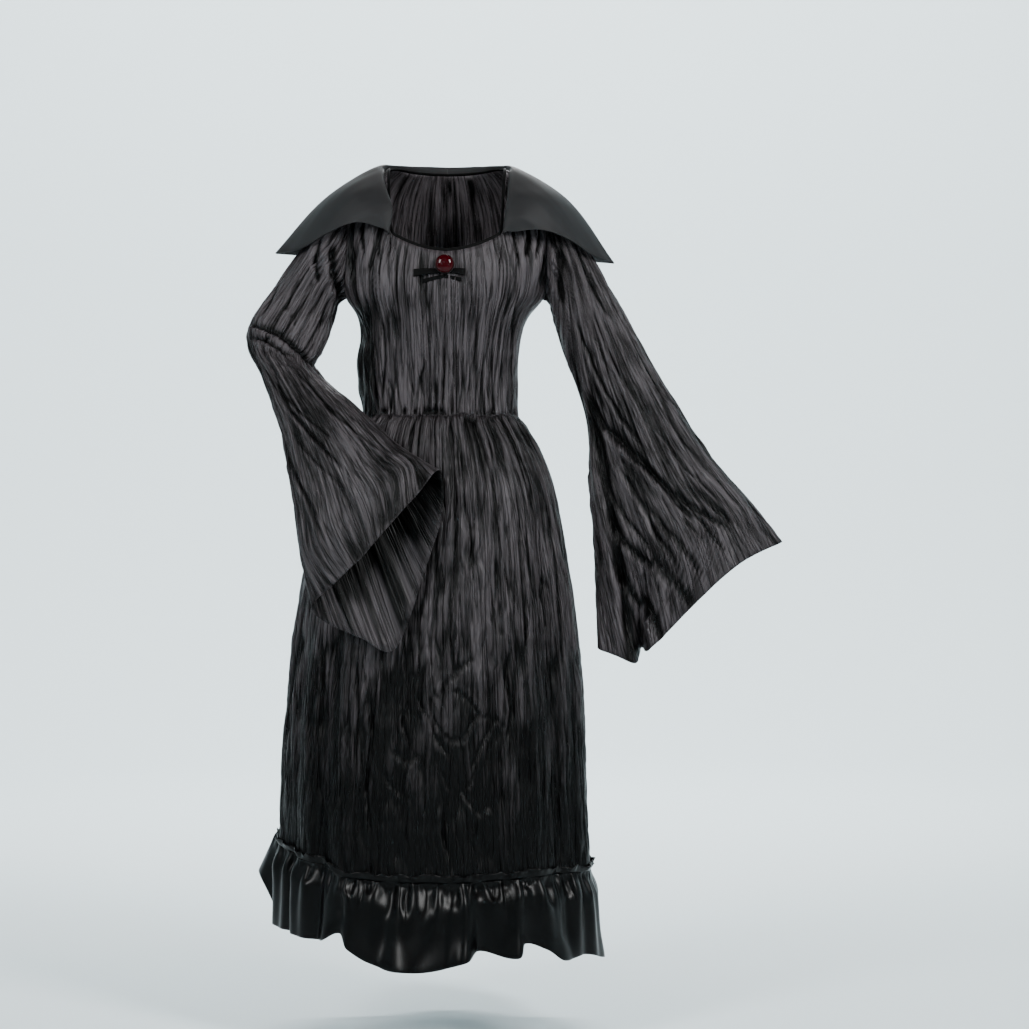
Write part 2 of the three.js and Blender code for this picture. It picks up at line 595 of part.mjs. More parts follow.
function sleeveSurface(sleeve) {
  const { side, sections, cuff, folds } = sleeve;
  const armhole = (around) => {
    const back = around > 0.5;
    const at = back ? (1 - around) * 2 : around * 2;
    const place = armholePlace(at, side, back);
    const point = trunkPoint(place.angle, place.rise);
    point.x += side * ARMHOLE_GAP;
    point.z += ARMPIT_LIFT * smoothStep(0.6, 1, at);
    return point;
  };
  const oval = (section, around) => {
    const outer = new THREE.Vector3(...section.outer);
    const inner = new THREE.Vector3(...section.inner);
    const turn = around * 360 * RADIANS;
    const point = outer.clone().add(inner).multiplyScalar(0.5);
    point.addScaledVector(outer.sub(inner), 0.5 * Math.cos(turn));
    point.y -= section.depth * Math.sin(turn);
    return point;
  };
  const cuffPoint = (around) => {
    const value = (column) => readRound(cuff, 'around', around, column, 1);
    return new THREE.Vector3(value('x'), value('y'), value('z'));
  };
  const last = sections.length + 1;
  const ring = (index, around) => {
    if (index <= 0) {
      return armhole(around);
    }
    return index >= last ? cuffPoint(around) : oval(sections[index - 1], around);
  };
  return (turns, along) => {
    const around = (turns + 1) % 1;
    const place = along * last;
    const k = Math.min(Math.floor(place), last - 1);
    const t = place - k;
    const rings = [k - 1, k, k + 1, k + 2].map((index) => ring(index, around));
    const curve = new THREE.Vector3();
    for (const axis of ['x', 'y', 'z']) {
      const [before, start, end, after] = rings.map((point) => point[axis]);
      const leave = (end - before) / 2;
      const reach = (after - start) / 2;
      const s = 1 - t;
      const ends = start * (1 + 2 * t) * s * s + end * (1 + 2 * s) * t * t;
      curve[axis] = ends + t * s * (leave * s - reach * t);
    }
    const middle = rings[1].clone().lerp(rings[2], t);
    const opposite = ring(k, (around + 0.5) % 1).lerp(ring(k + 1, (around + 0.5) % 1), t);
    const outward = middle.sub(opposite).normalize();
    let depth = HEAD_GATHER * Math.cos(around * HEAD_GATHERS * 2 * Math.PI);
    depth *= smoothStep(0, 0.08, along) * (1 - smoothStep(0.1, 0.3, along));
    for (const fold of folds) {
      const away = Math.abs(((around - fold.around + 1.5) % 1) - 0.5);
      const share = Math.exp(-((away / fold.width) ** 2)) * smoothStep(fold.from, 0.9, along);
      depth += fold.depth * share * (1 - 0.6 * smoothStep(0.9, 1, along));
    }
    return curve.addScaledVector(outward, depth);
  };
}

function sleeveHalf(name, sleeve, back) {
  const u = back ? [0.5 + SLEEVE_EDGE, 1 - SLEEVE_EDGE] : [SLEEVE_EDGE, 0.5 - SLEEVE_EDGE];
  const form = { columns: ARM_STEPS, rows: SLEEVE_STEPS, thickness: CLOTH, u, goesOn: true };
  return wall(name, crinkled, sleeveSurface(sleeve), form);
}

// Neckline binding and collar

// Frame on the neck edge: the point, the direction out of the cloth, and the way into the opening
function neckFrame(neck, side) {
  const place = neckPlace(neck, side);
  const point = trunkPoint(place.angle, place.rise);
  const small = 0.5;
  const top = Math.min(place.rise, RISE - 1);
  const round = trunkPoint(place.angle + small, top).sub(trunkPoint(place.angle - small, top));
  const up = trunkPoint(place.angle, top + small).sub(trunkPoint(place.angle, top - small));
  const out = round.cross(up).normalize();
  const near = neckPlace(Math.max(Math.min(neck + 0.01, 1), -1), side);
  const far = neckPlace(Math.max(Math.min(neck - 0.01, 1), -1), side);
  const along = trunkPoint(near.angle, near.rise).sub(trunkPoint(far.angle, far.rise)).normalize();
  const inward = along.clone().cross(out).multiplyScalar(side).normalize();
  return { point, out, inward };
}

function binding() {
  const stations = [];
  for (let i = 0; i < NECK_FRONT_STEPS; i += 1) {
    const at = (i / NECK_FRONT_STEPS) * 2 - 1;
    stations.push(neckFrame(1 - Math.abs(at), at < 0 ? -1 : 1));
  }
  for (let i = 0; i < NECK_BACK_STEPS; i += 1) {
    const at = 1 - (i / NECK_BACK_STEPS) * 2;
    stations.push(neckFrame(SHOULDER_BEHIND - (1 - Math.abs(at)), at < 0 ? -1 : 1));
  }
  const points = [];
  const corners = [[-0.5, 0], [0.5, 0], [0.5, 1], [-0.5, 1]];
  for (const { point, out, inward } of stations) {
    for (const [through, over] of corners) {
      const corner = point.clone().addScaledVector(out, through * BINDING_WALL);
      points.push(corner.addScaledVector(inward, BINDING_GAP + over * BINDING_WIDTH));
    }
  }
  const triangles = [];
  const count = stations.length;
  for (let i = 0; i < count; i += 1) {
    for (let k = 0; k < 4; k += 1) {
      const a = i * 4 + k;
      const b = i * 4 + ((k + 1) % 4);
      const c = ((i + 1) % count) * 4 + ((k + 1) % 4);
      const d = ((i + 1) % count) * 4 + k;
      triangles.push([a, b, c], [a, c, d]);
    }
  }
  return closedMesh('neck_binding', trim, points, triangles);
}

function collarWing(name, stations, side) {
  const clear = CLOTH / 2 + COLLAR_WALL / 2 + COLLAR_GAP;
  const tracks = ['base', 'roll', 'fall', 'edge'].map((track) => {
    const points = stations.map((station) => {
      if (track !== 'base') {
        return new THREE.Vector3(...station[track]);
      }
      const { point, out, inward } = neckFrame(station.neck || SHOULDER_BEHIND, side);
      point.addScaledVector(inward, -STAND_SET_IN).addScaledVector(out, clear);
      return station.neck === -1 ? point.setX(side * CENTRE_GAP) : point;
    });
    // the free edge has a sharp point at the tip, so each track is two curves that meet there
    const front = new THREE.CatmullRomCurve3(points.slice(0, TIP + 1));
    const rear = new THREE.CatmullRomCurve3(points.slice(TIP));
    const whole = new THREE.CatmullRomCurve3(points);
    const lastStation = stations.length - 1;
    return (u) => {
      const place = u * lastStation;
      if (track !== 'edge') {
        return whole.getPoint(u);
      }
      if (place <= TIP) {
        return front.getPoint(place / TIP);
      }
      return rear.getPoint((place - TIP) / (lastStation - TIP));
    };
  });
  const surface = (u, v) => new THREE.CatmullRomCurve3(tracks.map((track) => track(u))).getPoint(v);
  const form = { columns: COLLAR_STEPS, rows: COLLAR_ROWS, thickness: COLLAR_WALL };
  return wall(name, matteSatin, surface, form);
}

// Brooch and bow

function chestPoint(x, z, off) {
  const place = trunkPlace(x, z, false);
  const middle = (read(SECTIONS, 'z', z, 'left') + read(SECTIONS, 'z', z, 'right')) / 2;
  const point = trunkPoint(Math.sign(x - middle) * place.angle, place.rise);
  return new THREE.Vector3(x, point.y - CLOTH / 2 - off, z);
}

function turned(name, material, profile, segments, y) {
  const outline = profile.map(([radius, height]) => new THREE.Vector2(radius, height));
  const mesh = new THREE.Mesh(new THREE.LatheGeometry(outline, segments), material);
  mesh.name = name;
  mesh.rotation.x = Math.PI;
  mesh.position.set(BROOCH_X, y, BROOCH_Z);
  return mesh;
}

function brooch() {
  const back = chestPoint(BROOCH_X, BOW_Z, BOW_DEPTH + BOW_GAP).y;
  const seat = back - SETTING_HEIGHT - SEAM;
  const setting = [
    [0, 0],
    [SETTING_RADIUS - 1.5, 0],
    [SETTING_RADIUS, GIRDLE],
    [SETTING_RADIUS - 0.6, SETTING_HEIGHT],
    [0, SETTING_HEIGHT],
  ];
  const gem = [[0, 0], [GEM_RADIUS, 0]];
  for (let i = 0; i <= 5; i += 1) {
    const turn = (i / 5) * 90 * RADIANS;
    const radius = i === 5 ? 0 : GEM_RADIUS * Math.cos(turn);
    gem.push([radius, GIRDLE + (GEM_HEIGHT - GIRDLE) * Math.sin(turn)]);
  }
  return [
    turned('brooch_setting', darkMetal, setting, 20, back),
    turned('brooch_gem', ruby, gem, 20, seat),
  ];
}

// A loop of ribbon that lies on the chest: out from the knot and back in front of itself
function bowLoop(name, side, length, width) {
  const surface = (u, v) => {
    const out = Math.sin(u * Math.PI);
    const x = BROOCH_X + side * (5 + length * out ** 0.7);
    const off = mix(BOW_GAP, LOOP_FRONT, smoothStep(0, 1, u));
    const half = width * (0.32 + 0.18 * out);
    return chestPoint(x, BOW_Z + mix(-half, half, v) - 0.06 * Math.abs(x), off);
  };
  return wall(name, trim, surface, { columns: 14, rows: 2, thickness: RIBBON });
}

function bowTail(name, side, reach, drop) {
  const surface = (u, v) => {
    const x = BROOCH_X + side * (0.6 + reach * u);
    const z = BOW_Z - 7 - drop * u ** 1.3 - mix(0, 5.5 + 1.5 * u, v);
    return chestPoint(x, z, BOW_GAP);
  };
  return wall(name, trim, surface, { columns: 6, rows: 2, thickness: RIBBON });
}

function bowKnot() {
  const geometry = new THREE.SphereGeometry(1, 12, 8);
  geometry.scale(4.6, BOW_DEPTH / 2, 6.5);
  const mesh = new THREE.Mesh(geometry, trim);
  mesh.name = 'bow_knot';
  mesh.position.copy(chestPoint(BROOCH_X, BOW_Z, BOW_DEPTH / 2 + 0.6));
  return mesh;
}

const gown = new THREE.Group();
gown.add(
  bodicePanel('bodice_front', false),
  bodicePanel('bodice_back', true),
  binding(),
  collarWing('collar_right', RIGHT_COLLAR, -1),
  collarWing('collar_left', LEFT_COLLAR, 1),
);
for (const [name, sleeve] of [['right', RIGHT_SLEEVE], ['left', LEFT_SLEEVE]]) {
  gown.add(sleeveHalf(`sleeve_${name}_front`, sleeve, false));
  gown.add(sleeveHalf(`sleeve_${name}_back`, sleeve, true));
}
const skirtForm = { rows: 8, thickness: CLOTH, spread: (t) => t ** 1.35 }; // rows crowd near the waist
const flounceForm = { rows: 4, thickness: SATIN };
const headingForm = { rows: 1, thickness: SATIN };
for (const [name, back] of [['front', false], ['back', true]]) {
  gown.add(
    halfRing(`skirt_${name}`, crinkled, skirt, back, skirtForm),
    halfRing(`flounce_${name}`, glossySatin, flouncePoint, back, flounceForm),
    halfRing(`flounce_heading_${name}`, glossySatin, headingPoint, back, headingForm),
  );
}
gown.add(...brooch(), bowKnot());
gown.add(bowLoop('bow_loop_right', -1, 48, 13), bowLoop('bow_loop_left', 1, 29, 12));
gown.add(bowTail('bow_tail_right', -1, 38, 8), bowTail('bow_tail_left', 1, 28, 5));

export default gown;
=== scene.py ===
import math
from collections import namedtuple
from functools import partial

import bmesh
import bpy
import numpy as np
from mathutils import Matrix, Vector


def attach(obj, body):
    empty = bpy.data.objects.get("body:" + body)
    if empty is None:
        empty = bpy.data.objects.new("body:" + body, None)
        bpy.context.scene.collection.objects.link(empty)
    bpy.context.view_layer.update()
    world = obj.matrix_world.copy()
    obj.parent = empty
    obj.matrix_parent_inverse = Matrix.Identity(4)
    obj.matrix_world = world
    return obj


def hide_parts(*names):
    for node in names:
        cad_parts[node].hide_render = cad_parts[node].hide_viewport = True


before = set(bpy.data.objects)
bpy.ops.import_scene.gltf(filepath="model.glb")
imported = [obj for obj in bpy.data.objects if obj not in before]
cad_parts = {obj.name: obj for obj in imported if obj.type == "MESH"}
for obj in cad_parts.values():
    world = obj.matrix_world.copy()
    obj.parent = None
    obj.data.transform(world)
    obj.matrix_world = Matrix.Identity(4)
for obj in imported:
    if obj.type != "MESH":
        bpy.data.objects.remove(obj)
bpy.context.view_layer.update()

# Bodice: a front and a back of crushed, finely crinkled black satin, sewn at the sides and shoulders
# and drawn in at the waist seam. Each panel is laid over the body's sections between its waist, side,
# armhole, shoulder and neck edges, and the crinkles and creases are raised on it.
MM = 0.001
WAIST_Z = -397
ARMPIT_Z = -190
BUST_Z = -150
NECK_X = 104
SHOULDER_PEAK = 58
SHOULDER_FALL = 0.00215
SQUARENESS = 2.2
FRONT_ROUNDING = 2.2
BACK_ROUNDING = 3.5
RISE = 160
TOP_RISE = RISE - 0.02
SIDE_EDGE = 90.08
CLOTH = 1.1


def table(kind, *rows):
    return [kind(*row) for row in rows]


Section = namedtuple("Section", "z right left front back")
SECTIONS = table(
    Section,
    (-1190, -288, 250, 205, 206),
    (-1060, -283, 243, 194, 198),
    (-900, -274, 238, 178, 188),
    (-750, -258, 225, 160, 176),
    (-620, -232, 206, 144, 165),
    (-520, -205, 186, 132, 152),
    (-450, -180, 158, 120, 134),
    (-420, -163, 139, 110, 114),
    (-397, -147, 125, 98, 90),
    (-350, -154, 124, 96, 86),
    (-300, -156, 124, 100, 88),
    (-255, -151, 129, 106, 93),
    (-220, -157, 143, 112, 97),
    (-190, -176, 168, 115, 100),
    (-150, -184, 182, 114, 103),
    (-100, -188, 190, 104, 102),
    (-40, -196, 196, 92, 96),
    (60, -200, 200, 80, 84),
)
Place = namedtuple("Place", "at angle rise")
ARMHOLE = table(
    Place,
    (0, 60, 160),
    (0.25, 60, 112),
    (0.5, 62, 62),
    (0.75, 69, 10),
    (0.9, 80, -31),
    (0.95, 85, -37),
    (1, 90, ARMPIT_Z - BUST_Z),
)
NeckPoint = namedtuple("NeckPoint", "at x z")
NECK_FRONT = table(
    NeckPoint,
    (0.12, 103, 18),
    (0.25, 101, -18),
    (0.37, 100, -54),
    (0.5, 96, -84),
    (0.62, 78, -97),
    (0.75, 53, -108),
    (0.87, 27, -115),
    (1, 0, -118),
)
NECK_BACK = table(
    NeckPoint,
    (0.2, 94, 37.5),
    (0.45, 68, 36),
    (0.75, 33, 33),
    (1, 0, 32),
)
SIDE_SHARE = 7 / 17
SHOULDER_SHARE = {"front": 4 / 24, "back": 4 / 20}

Fold = namedtuple("Fold", "angle width depth top bottom")
BODICE_FOLDS = table(
    Fold,
    (-72, 6, -5, -210, -397),
    (-52, 5, 4, -180, -397),
    (-12, 5, -4, -260, -397),
    (8, 5, 3, -270, -397),
    (40, 5, -4, -190, -397),
    (66, 6, 4, -200, -397),
    (115, 7, -5, -200, -397),
    (148, 6, 4, -170, -397),
    (205, 7, -5, -190, -397),
    (240, 6, 4, -200, -397),
)
SKIRT_END = -1190
FOLD_START = 120
FOLD_FADE = 60

Crease = namedtuple("Crease", "width depth line")


def crease_table(*rows):
    """Creases, each with its width, its depth and then the places it runs through, in millimetres as
    seen from the front or the back. Each is a trough with a soft lip beside it."""
    return [Crease(width, depth, line) for width, depth, *line in rows]


BODICE_FRONT_CREASES = crease_table(
    (2.4, 3.0, (-4, -268), (-2, -330), (-6, -388)),
    (2.0, 2.4, (68, -240), (64, -310), (58, -385)),
    (2.2, 2.2, (97, -215), (90, -290), (80, -370)),
    (2.6, 3.2, (-112, -220), (-104, -300), (-112, -384)),
    (2.2, 2.4, (-84, -250), (-88, -320), (-78, -388)),
    (2.0, 2.0, (-50, -290), (-46, -340), (-54, -390)),
    (2.0, 2.2, (26, -290), (30, -345), (22, -392)),
    (1.8, 1.8, (44, -330), (38, -360), (42, -392)),
    (2.4, 2.6, (132, -160), (118, -215), (112, -290)),
    (2.6, 3.0, (-150, -150), (-136, -205), (-130, -270)),
    (2.0, 2.0, (-120, -96), (-112, -130), (-116, -170)),
    (2.0, 1.8, (118, -92), (112, -130), (120, -168)),
    (1.8, 1.6, (-30, -150), (-34, -190), (-28, -230)),
    (1.8, 1.6, (40, -160), (46, -200), (40, -236)),
    (5.4, 8.0, (-178, -50), (-176, -80), (-170, -125), (-158, -178)),
    (3.6, 6.0, (-160, -48), (-163, -72), (-165, -104), (-158, -140)),
    (4.4, 7.0, (-106, -50), (-112, -74), (-124, -110), (-136, -158)),
    (3.0, 4.6, (-144, -54), (-146, -90), (-138, -130)),
    (5.6, 8.5, (180, -54), (178, -96), (170, -140), (160, -182)),
    (4.4, 7.0, (138, -50), (144, -86), (136, -130)),
    (3.4, 5.0, (110, -56), (118, -96), (128, -142)),
    (3.4, 5.0, (160, -52), (162, -92), (152, -134)),
    (5.4, 7.0, (-154, -205), (-147, -270), (-150, -335), (-141, -402)),
    (5.0, 7.0, (-140, -226), (-134, -290), (-138, -345), (-128, -402)),
    (3.4, 4.0, (-124, -262), (-128, -310), (-122, -350), (-116, -392)),
    (3.0, 3.6, (-98, -330), (-92, -360), (-96, -395)),
    (2.6, 3.0, (-66, -300), (-60, -340), (-52, -370)),
    (2.6, 3.0, (-34, -300), (-44, -335), (-40, -372)),
)
BODICE_BACK_CREASES = crease_table(
    (2.4, 2.8, (-8, -250), (-4, -320), (-8, -390)),
    (2.2, 2.4, (58, -230), (54, -310), (48, -388)),
    (2.4, 2.6, (-72, -220), (-66, -300), (-60, -386)),
    (2.0, 2.0, (96, -190), (88, -260), (84, -340)),
    (2.2, 2.4, (-118, -200), (-108, -280), (-100, -360)),
    (2.0, 1.8, (24, -120), (28, -170), (22, -220)),
    (2.0, 1.8, (-36, -90), (-40, -150), (-34, -210)),
)


def mix(start, end, share):
    return start + (end - start) * share


def ease(start, end, x):
    share = np.clip((x - start) / (end - start), 0, 1)
    return share * share * (3 - 2 * share)


def blend(start, end, leave, reach, t):
    """The curve from start to end at the share t, with the slopes it leaves and arrives with."""
    s = 1 - t
    ends = start * (1 + 2 * t) * s * s + end * (1 + 2 * s) * t * t
    return ends + t * s * (leave * s - reach * t)


def read(rows, by, at, column):
    """One column of a table where the column `by`, which rises row by row, is `at`: a smooth curve."""
    x = np.array([getattr(row, by) for row in rows], float)
    y = np.array([getattr(row, column) for row in rows], float)
    ahead = np.minimum(np.arange(len(x)) + 1, len(x) - 1)
    behind = np.maximum(np.arange(len(x)) - 1, 0)
    slope = (y[ahead] - y[behind]) / (x[ahead] - x[behind])
    at = np.clip(at, x[0], x[-1])
    i = np.clip(np.searchsorted(x, at) - 1, 0, len(x) - 2)
    width = x[i + 1] - x[i]
    return blend(y[i], y[i + 1], width * slope[i], width * slope[i + 1], (at - x[i]) / width)


def shoulder_height(x):
    return SHOULDER_PEAK - SHOULDER_FALL * x * x


def power(value, exponent):
    return np.sign(value) * np.abs(value) ** exponent


def level_width(z):
    """Where the middle of the body is at a level, and half its width there."""
    right = read(SECTIONS, "z", z, "right")
    left = read(SECTIONS, "z", z, "left")
    return (left + right) / 2, (left - right) / 2


def level_points(angle, z):
    """Points of the body at a level: degrees round from the middle of the front to the wearer's left."""
    middle, half = level_width(z)
    turn = np.radians(angle)
    front = read(SECTIONS, "z", z, "front")
    back = read(SECTIONS, "z", z, "back")
    depth = np.where(np.cos(turn) > 0, front, back)
    x = middle + half * power(np.sin(turn), 2 / SQUARENESS)
    y = -depth * power(np.cos(turn), 2 / SQUARENESS)
    return np.stack([x, y, z + 0 * x], axis=1)


def trunk_points(angle, rise):
    """Points of the trunk: rise is the height over the bust level, and RISE is the shoulder line."""
    rounding = np.where(np.abs(angle) < 90, FRONT_ROUNDING, BACK_ROUNDING)
    turn = np.clip(rise, 0, RISE) / RISE * math.pi / 2
    share = np.sin(turn) ** (2 / rounding)
    guess = level_points(angle, mix(BUST_Z, shoulder_height(NECK_X), share))
    over = mix(BUST_Z, shoulder_height(guess[:, 0]), share)
    points = level_points(angle, np.where(rise <= 0, BUST_Z + rise, over))
    points[:, 1] *= np.cos(turn) ** (2 / rounding)
    return points


def trunk_place(x, z, back):
    """Where the height z at the distance x out lies on the trunk."""
    middle, half = level_width(z)
    share = np.minimum(np.abs(x - middle) / half, 1)
    angle = np.degrees(np.arcsin(share ** (SQUARENESS / 2)))
    rounding = BACK_ROUNDING if back else FRONT_ROUNDING
    height = np.clip((z - BUST_Z) / (shoulder_height(x) - BUST_Z), 0, 1)
    over = np.degrees(np.arcsin(height ** (rounding / 2))) / 90 * RISE
    return angle, np.where(height <= 0, z - BUST_Z, over)


def neck_rows(points, back):
    angle, _ = trunk_place(NECK_X, shoulder_height(NECK_X), back)
    rows = [Place(0, angle, TOP_RISE)]
    for point in points:
        rows.append(Place(point.at, *trunk_place(point.x, point.z, back)))
    return rows


NECK_FRONT_PLACES = neck_rows(NECK_FRONT, False)
NECK_BACK_PLACES = neck_rows(NECK_BACK, True)


def neck_edge(neck, back):
    """The neck edge: neck is 0 on the shoulder line and 1 at the middle of that panel."""
    rows = NECK_BACK_PLACES if back else NECK_FRONT_PLACES
    return read(rows, "at", neck, "angle"), read(rows, "at", neck, "rise")


def turn_from(angle, middle):
    return (angle - middle + 540) % 360 - 180


def fold_depth(folds, angle, z):
    depth = np.zeros(len(angle))
    for fold in folds:
        away = turn_from(angle, fold.angle) / fold.width
        share = np.exp(-(away**2)) * (1 - ease(fold.top - FOLD_START, fold.top, z))
        if fold.bottom > SKIRT_END:
            share = share * ease(fold.bottom, fold.bottom + FOLD_FADE, z)
        depth += fold.depth * share
    return depth


def outward(angle):
    turn = np.radians(angle)
    return np.stack([np.sin(turn), -np.cos(turn), 0 * turn], axis=1)


def panel_points(panel, u, v):
    """A panel as a patch between its waist seam, side and armhole edges, and shoulder and neck."""
    back = panel == "back"
    waist_rise = WAIST_Z - BUST_Z
    up_side = np.clip(v / SIDE_SHARE, 0, 1)
    up_arm = np.clip((v - SIDE_SHARE) / (1 - SIDE_SHARE), 0, 1)
    arm_angle = np.minimum(read(ARMHOLE, "at", 1 - up_arm, "angle"), SIDE_EDGE)
    arm_rise = np.minimum(read(ARMHOLE, "at", 1 - up_arm, "rise"), TOP_RISE)
    side_rise = mix(waist_rise, ARMPIT_Z - BUST_Z, up_side)
    edge_angle = np.where(v <= SIDE_SHARE, SIDE_EDGE, arm_angle)
    edge_rise = np.where(v <= SIDE_SHARE, side_rise, arm_rise)
    near = np.minimum(u, 1 - u)
    share = SHOULDER_SHARE[panel]
    neck_angle, neck_rise = neck_edge(np.clip((near - share) / (0.5 - share), 0, 1), back)
    start_angle, _ = neck_edge(np.zeros(1), back)
    corner = ARMHOLE[0].angle
    over_shoulder = mix(corner, start_angle, np.clip(near / share, 0, 1))
    top_angle = np.where(near <= share, over_shoulder, neck_angle)
    top_rise = np.where(near <= share, TOP_RISE, neck_rise)
    side = np.where(u < 0.5, -1, 1)
    swing = 2 * u - 1
    angle = mix(swing * SIDE_EDGE, side * top_angle, v) + swing * (edge_angle - mix(SIDE_EDGE, corner, v))
    rise = mix(waist_rise, top_rise, v) + swing**2 * (edge_rise - mix(waist_rise, TOP_RISE, v))
    placed = 180 - angle if back else angle
    points = trunk_points(placed, np.minimum(rise, TOP_RISE))
    depth = fold_depth(BODICE_FOLDS, placed, points[:, 2])
    points[:, 2] += seam_ripple(placed, points[:, 2])
    return points + outward(placed) * depth[:, None]


def noise(x, y, seed):
    """Soft unevenness from 0 to 1, the same each time, with a bump to each step of x and y. The
    patterns give it millimetres of cloth, or degrees round the body, over the length of a bump."""
    column = np.floor(x)
    row = np.floor(y)
    s = x - column
    t = y - row
    s = s * s * (3 - 2 * s)
    t = t * t * (3 - 2 * t)

    def corner(across, up):
        value = np.sin((column + across) * 127.1 + (row + up) * 311.7 + seed * 74.7) * 43758.5453
        return value - np.floor(value)

    low = mix(corner(0, 0), corner(1, 0), s)
    return mix(low, mix(corner(0, 1), corner(1, 1), s), t)


def groove(value, sharpness):
    """A narrow groove, 1 deep in its middle, along the lines where a noise passes through a half."""
    return 1 - np.minimum(np.abs(2 * value - 1) * sharpness, 1)


def crinkle(across, along, seed):
    """Height of the crushed fine pleats: flat facets between narrow grooves that run along the cloth."""
    line = across + 9 * noise(across / 34, along / 70, seed) + 3 * noise(across / 11, along / 30, seed + 1)
    deep = groove(noise(line / 8, along / 120, seed + 2), 2.6)
    fine = groove(noise(line / 5, along / 60, seed + 3), 2)
    facet = noise(line / 8, along / 70, seed + 4) - 0.5
    strength = 0.45 + noise(across / 44, along / 80, seed + 5)
    return strength * (1.4 * facet - 2 * deep - 0.5 * fine) + 0.6


def crush(across, along, seed):
    """Height of the larger dents and bent pleats left by crushing the cloth."""
    line = across + 16 * noise(across / 40, along / 60, seed + 6)
    long_dents = groove(noise(line / 21, along / 170, seed + 7), 2)
    short_dents = groove(noise(across / 24 + along / 90, along / 30, seed + 8), 2.6)
    return 0.5 - 1.2 * long_dents - 0.4 * short_dents


def gathers(across, below, reach, pitch, seed):
    """Height of the puckers that run out of a gathered seam, each with its own length."""
    own_reach = reach * (0.45 + 0.55 * noise(across / pitch, 0 * below, seed + 9))
    pucker = 0.7 - 1.7 * groove(noise(across / pitch, below / (2.6 * reach), seed + 10), 1.5)
    return pucker * ease(0, 0.05 * reach, below) * (1 - ease(0.35 * own_reach, own_reach, below))


def notches(across, below, seed):
    """Depth of the short dark notches that the stitches pull into a gathered seam, from 0 to 1."""
    reach = 7 + 13 * noise(across / 15, 0 * below, seed + 12)
    return groove(noise(across / 12, below / 60, seed + 13), 1.7) * (1 - ease(0.4 * reach, reach, below))


def seam_ripple(angle, z):
    """How far the waist seam rises and falls with its gathers."""
    ripple = 5 * (noise(angle / 7, 0 * angle, 95) - 0.5) + 2.4 * (noise(angle / 2.6, 0 * angle, 96) - 0.5)
    return ripple * (1 - ease(0, 18, np.abs(z - WAIST_Z)))


CREASE_REACH = 4
CREASE_FADE = 0.22
LIP_AWAY = 1.9
LIP_WIDTH = 1.1
LIP_HEIGHT = 0.5


def creased(points, creases):
    """Height of the listed creases at points. Each fades out at its ends, unless it is closed."""
    height = np.zeros(len(points))
    seen = points[:, [0, 2]]
    for crease in creases:
        line = np.array(crease.line, float)
        reach = CREASE_REACH * crease.width
        near = (seen > line.min(axis=0) - reach) & (seen < line.max(axis=0) + reach)
        inside = np.flatnonzero(near.all(axis=1))
        spot = seen[inside]
        nearest = np.full(len(inside), 1e9)
        signed = np.zeros(len(inside))
        run = np.zeros(len(inside))
        done = 0
        for start, end in zip(line, line[1:]):
            step = end - start
            length = np.hypot(*step)
            share = np.clip(((spot - start) @ step) / length**2, 0, 1)
            gap = spot - start - share[:, None] * step
            away = np.hypot(gap[:, 0], gap[:, 1])
            closer = away < nearest
            side = np.sign(gap[:, 0] * step[1] - gap[:, 1] * step[0])
            nearest = np.where(closer, away, nearest)
            signed = np.where(closer, away * side, signed)
            run = np.where(closer, done + share * length, run)
            done += length
        share = run / done
        closed = np.allclose(line[0], line[-1])
        fade = 1 if closed else ease(0, CREASE_FADE, share) * (1 - ease(1 - CREASE_FADE, 1, share))
        trough = np.exp(-((nearest / crease.width) ** 2))
        lip = np.exp(-(((signed / crease.width - LIP_AWAY) / LIP_WIDTH) ** 2))
        height[inside] += crease.depth * fade * (LIP_HEIGHT * lip - trough)
    return height


def unit(vectors):
    return vectors / np.maximum(np.linalg.norm(vectors, axis=1), 1e-9)[:, None]


NORMAL_STEP = 0.0004


def raised(surface, u, v, height, facing):
    """How far each point of a surface moves when it is raised out of it by a height."""
    u = np.clip(u, NORMAL_STEP, 1 - NORMAL_STEP)
    v = np.clip(v, NORMAL_STEP, 1 - NORMAL_STEP)
    across = surface(u + NORMAL_STEP, v) - surface(u - NORMAL_STEP, v)
    along = surface(u, v + NORMAL_STEP) - surface(u, v - NORMAL_STEP)
    return unit(np.cross(across, along) * facing) * height[:, None]


BODY_ROUND = 160


def upright_spread(points, facing):
    """Distances round the body and up it, for a pattern that hangs straight whatever the grid does."""
    around = BODY_ROUND * np.arctan2(points[:, 0], -points[:, 1] * facing)
    return np.stack([around, points[:, 2] - WAIST_Z], axis=1)


def link_piece(name, mesh):
    mesh.shade_smooth()
    piece = bpy.data.objects.new(name, mesh)
    bpy.context.scene.collection.objects.link(piece)
    return piece


WELD = 0.01


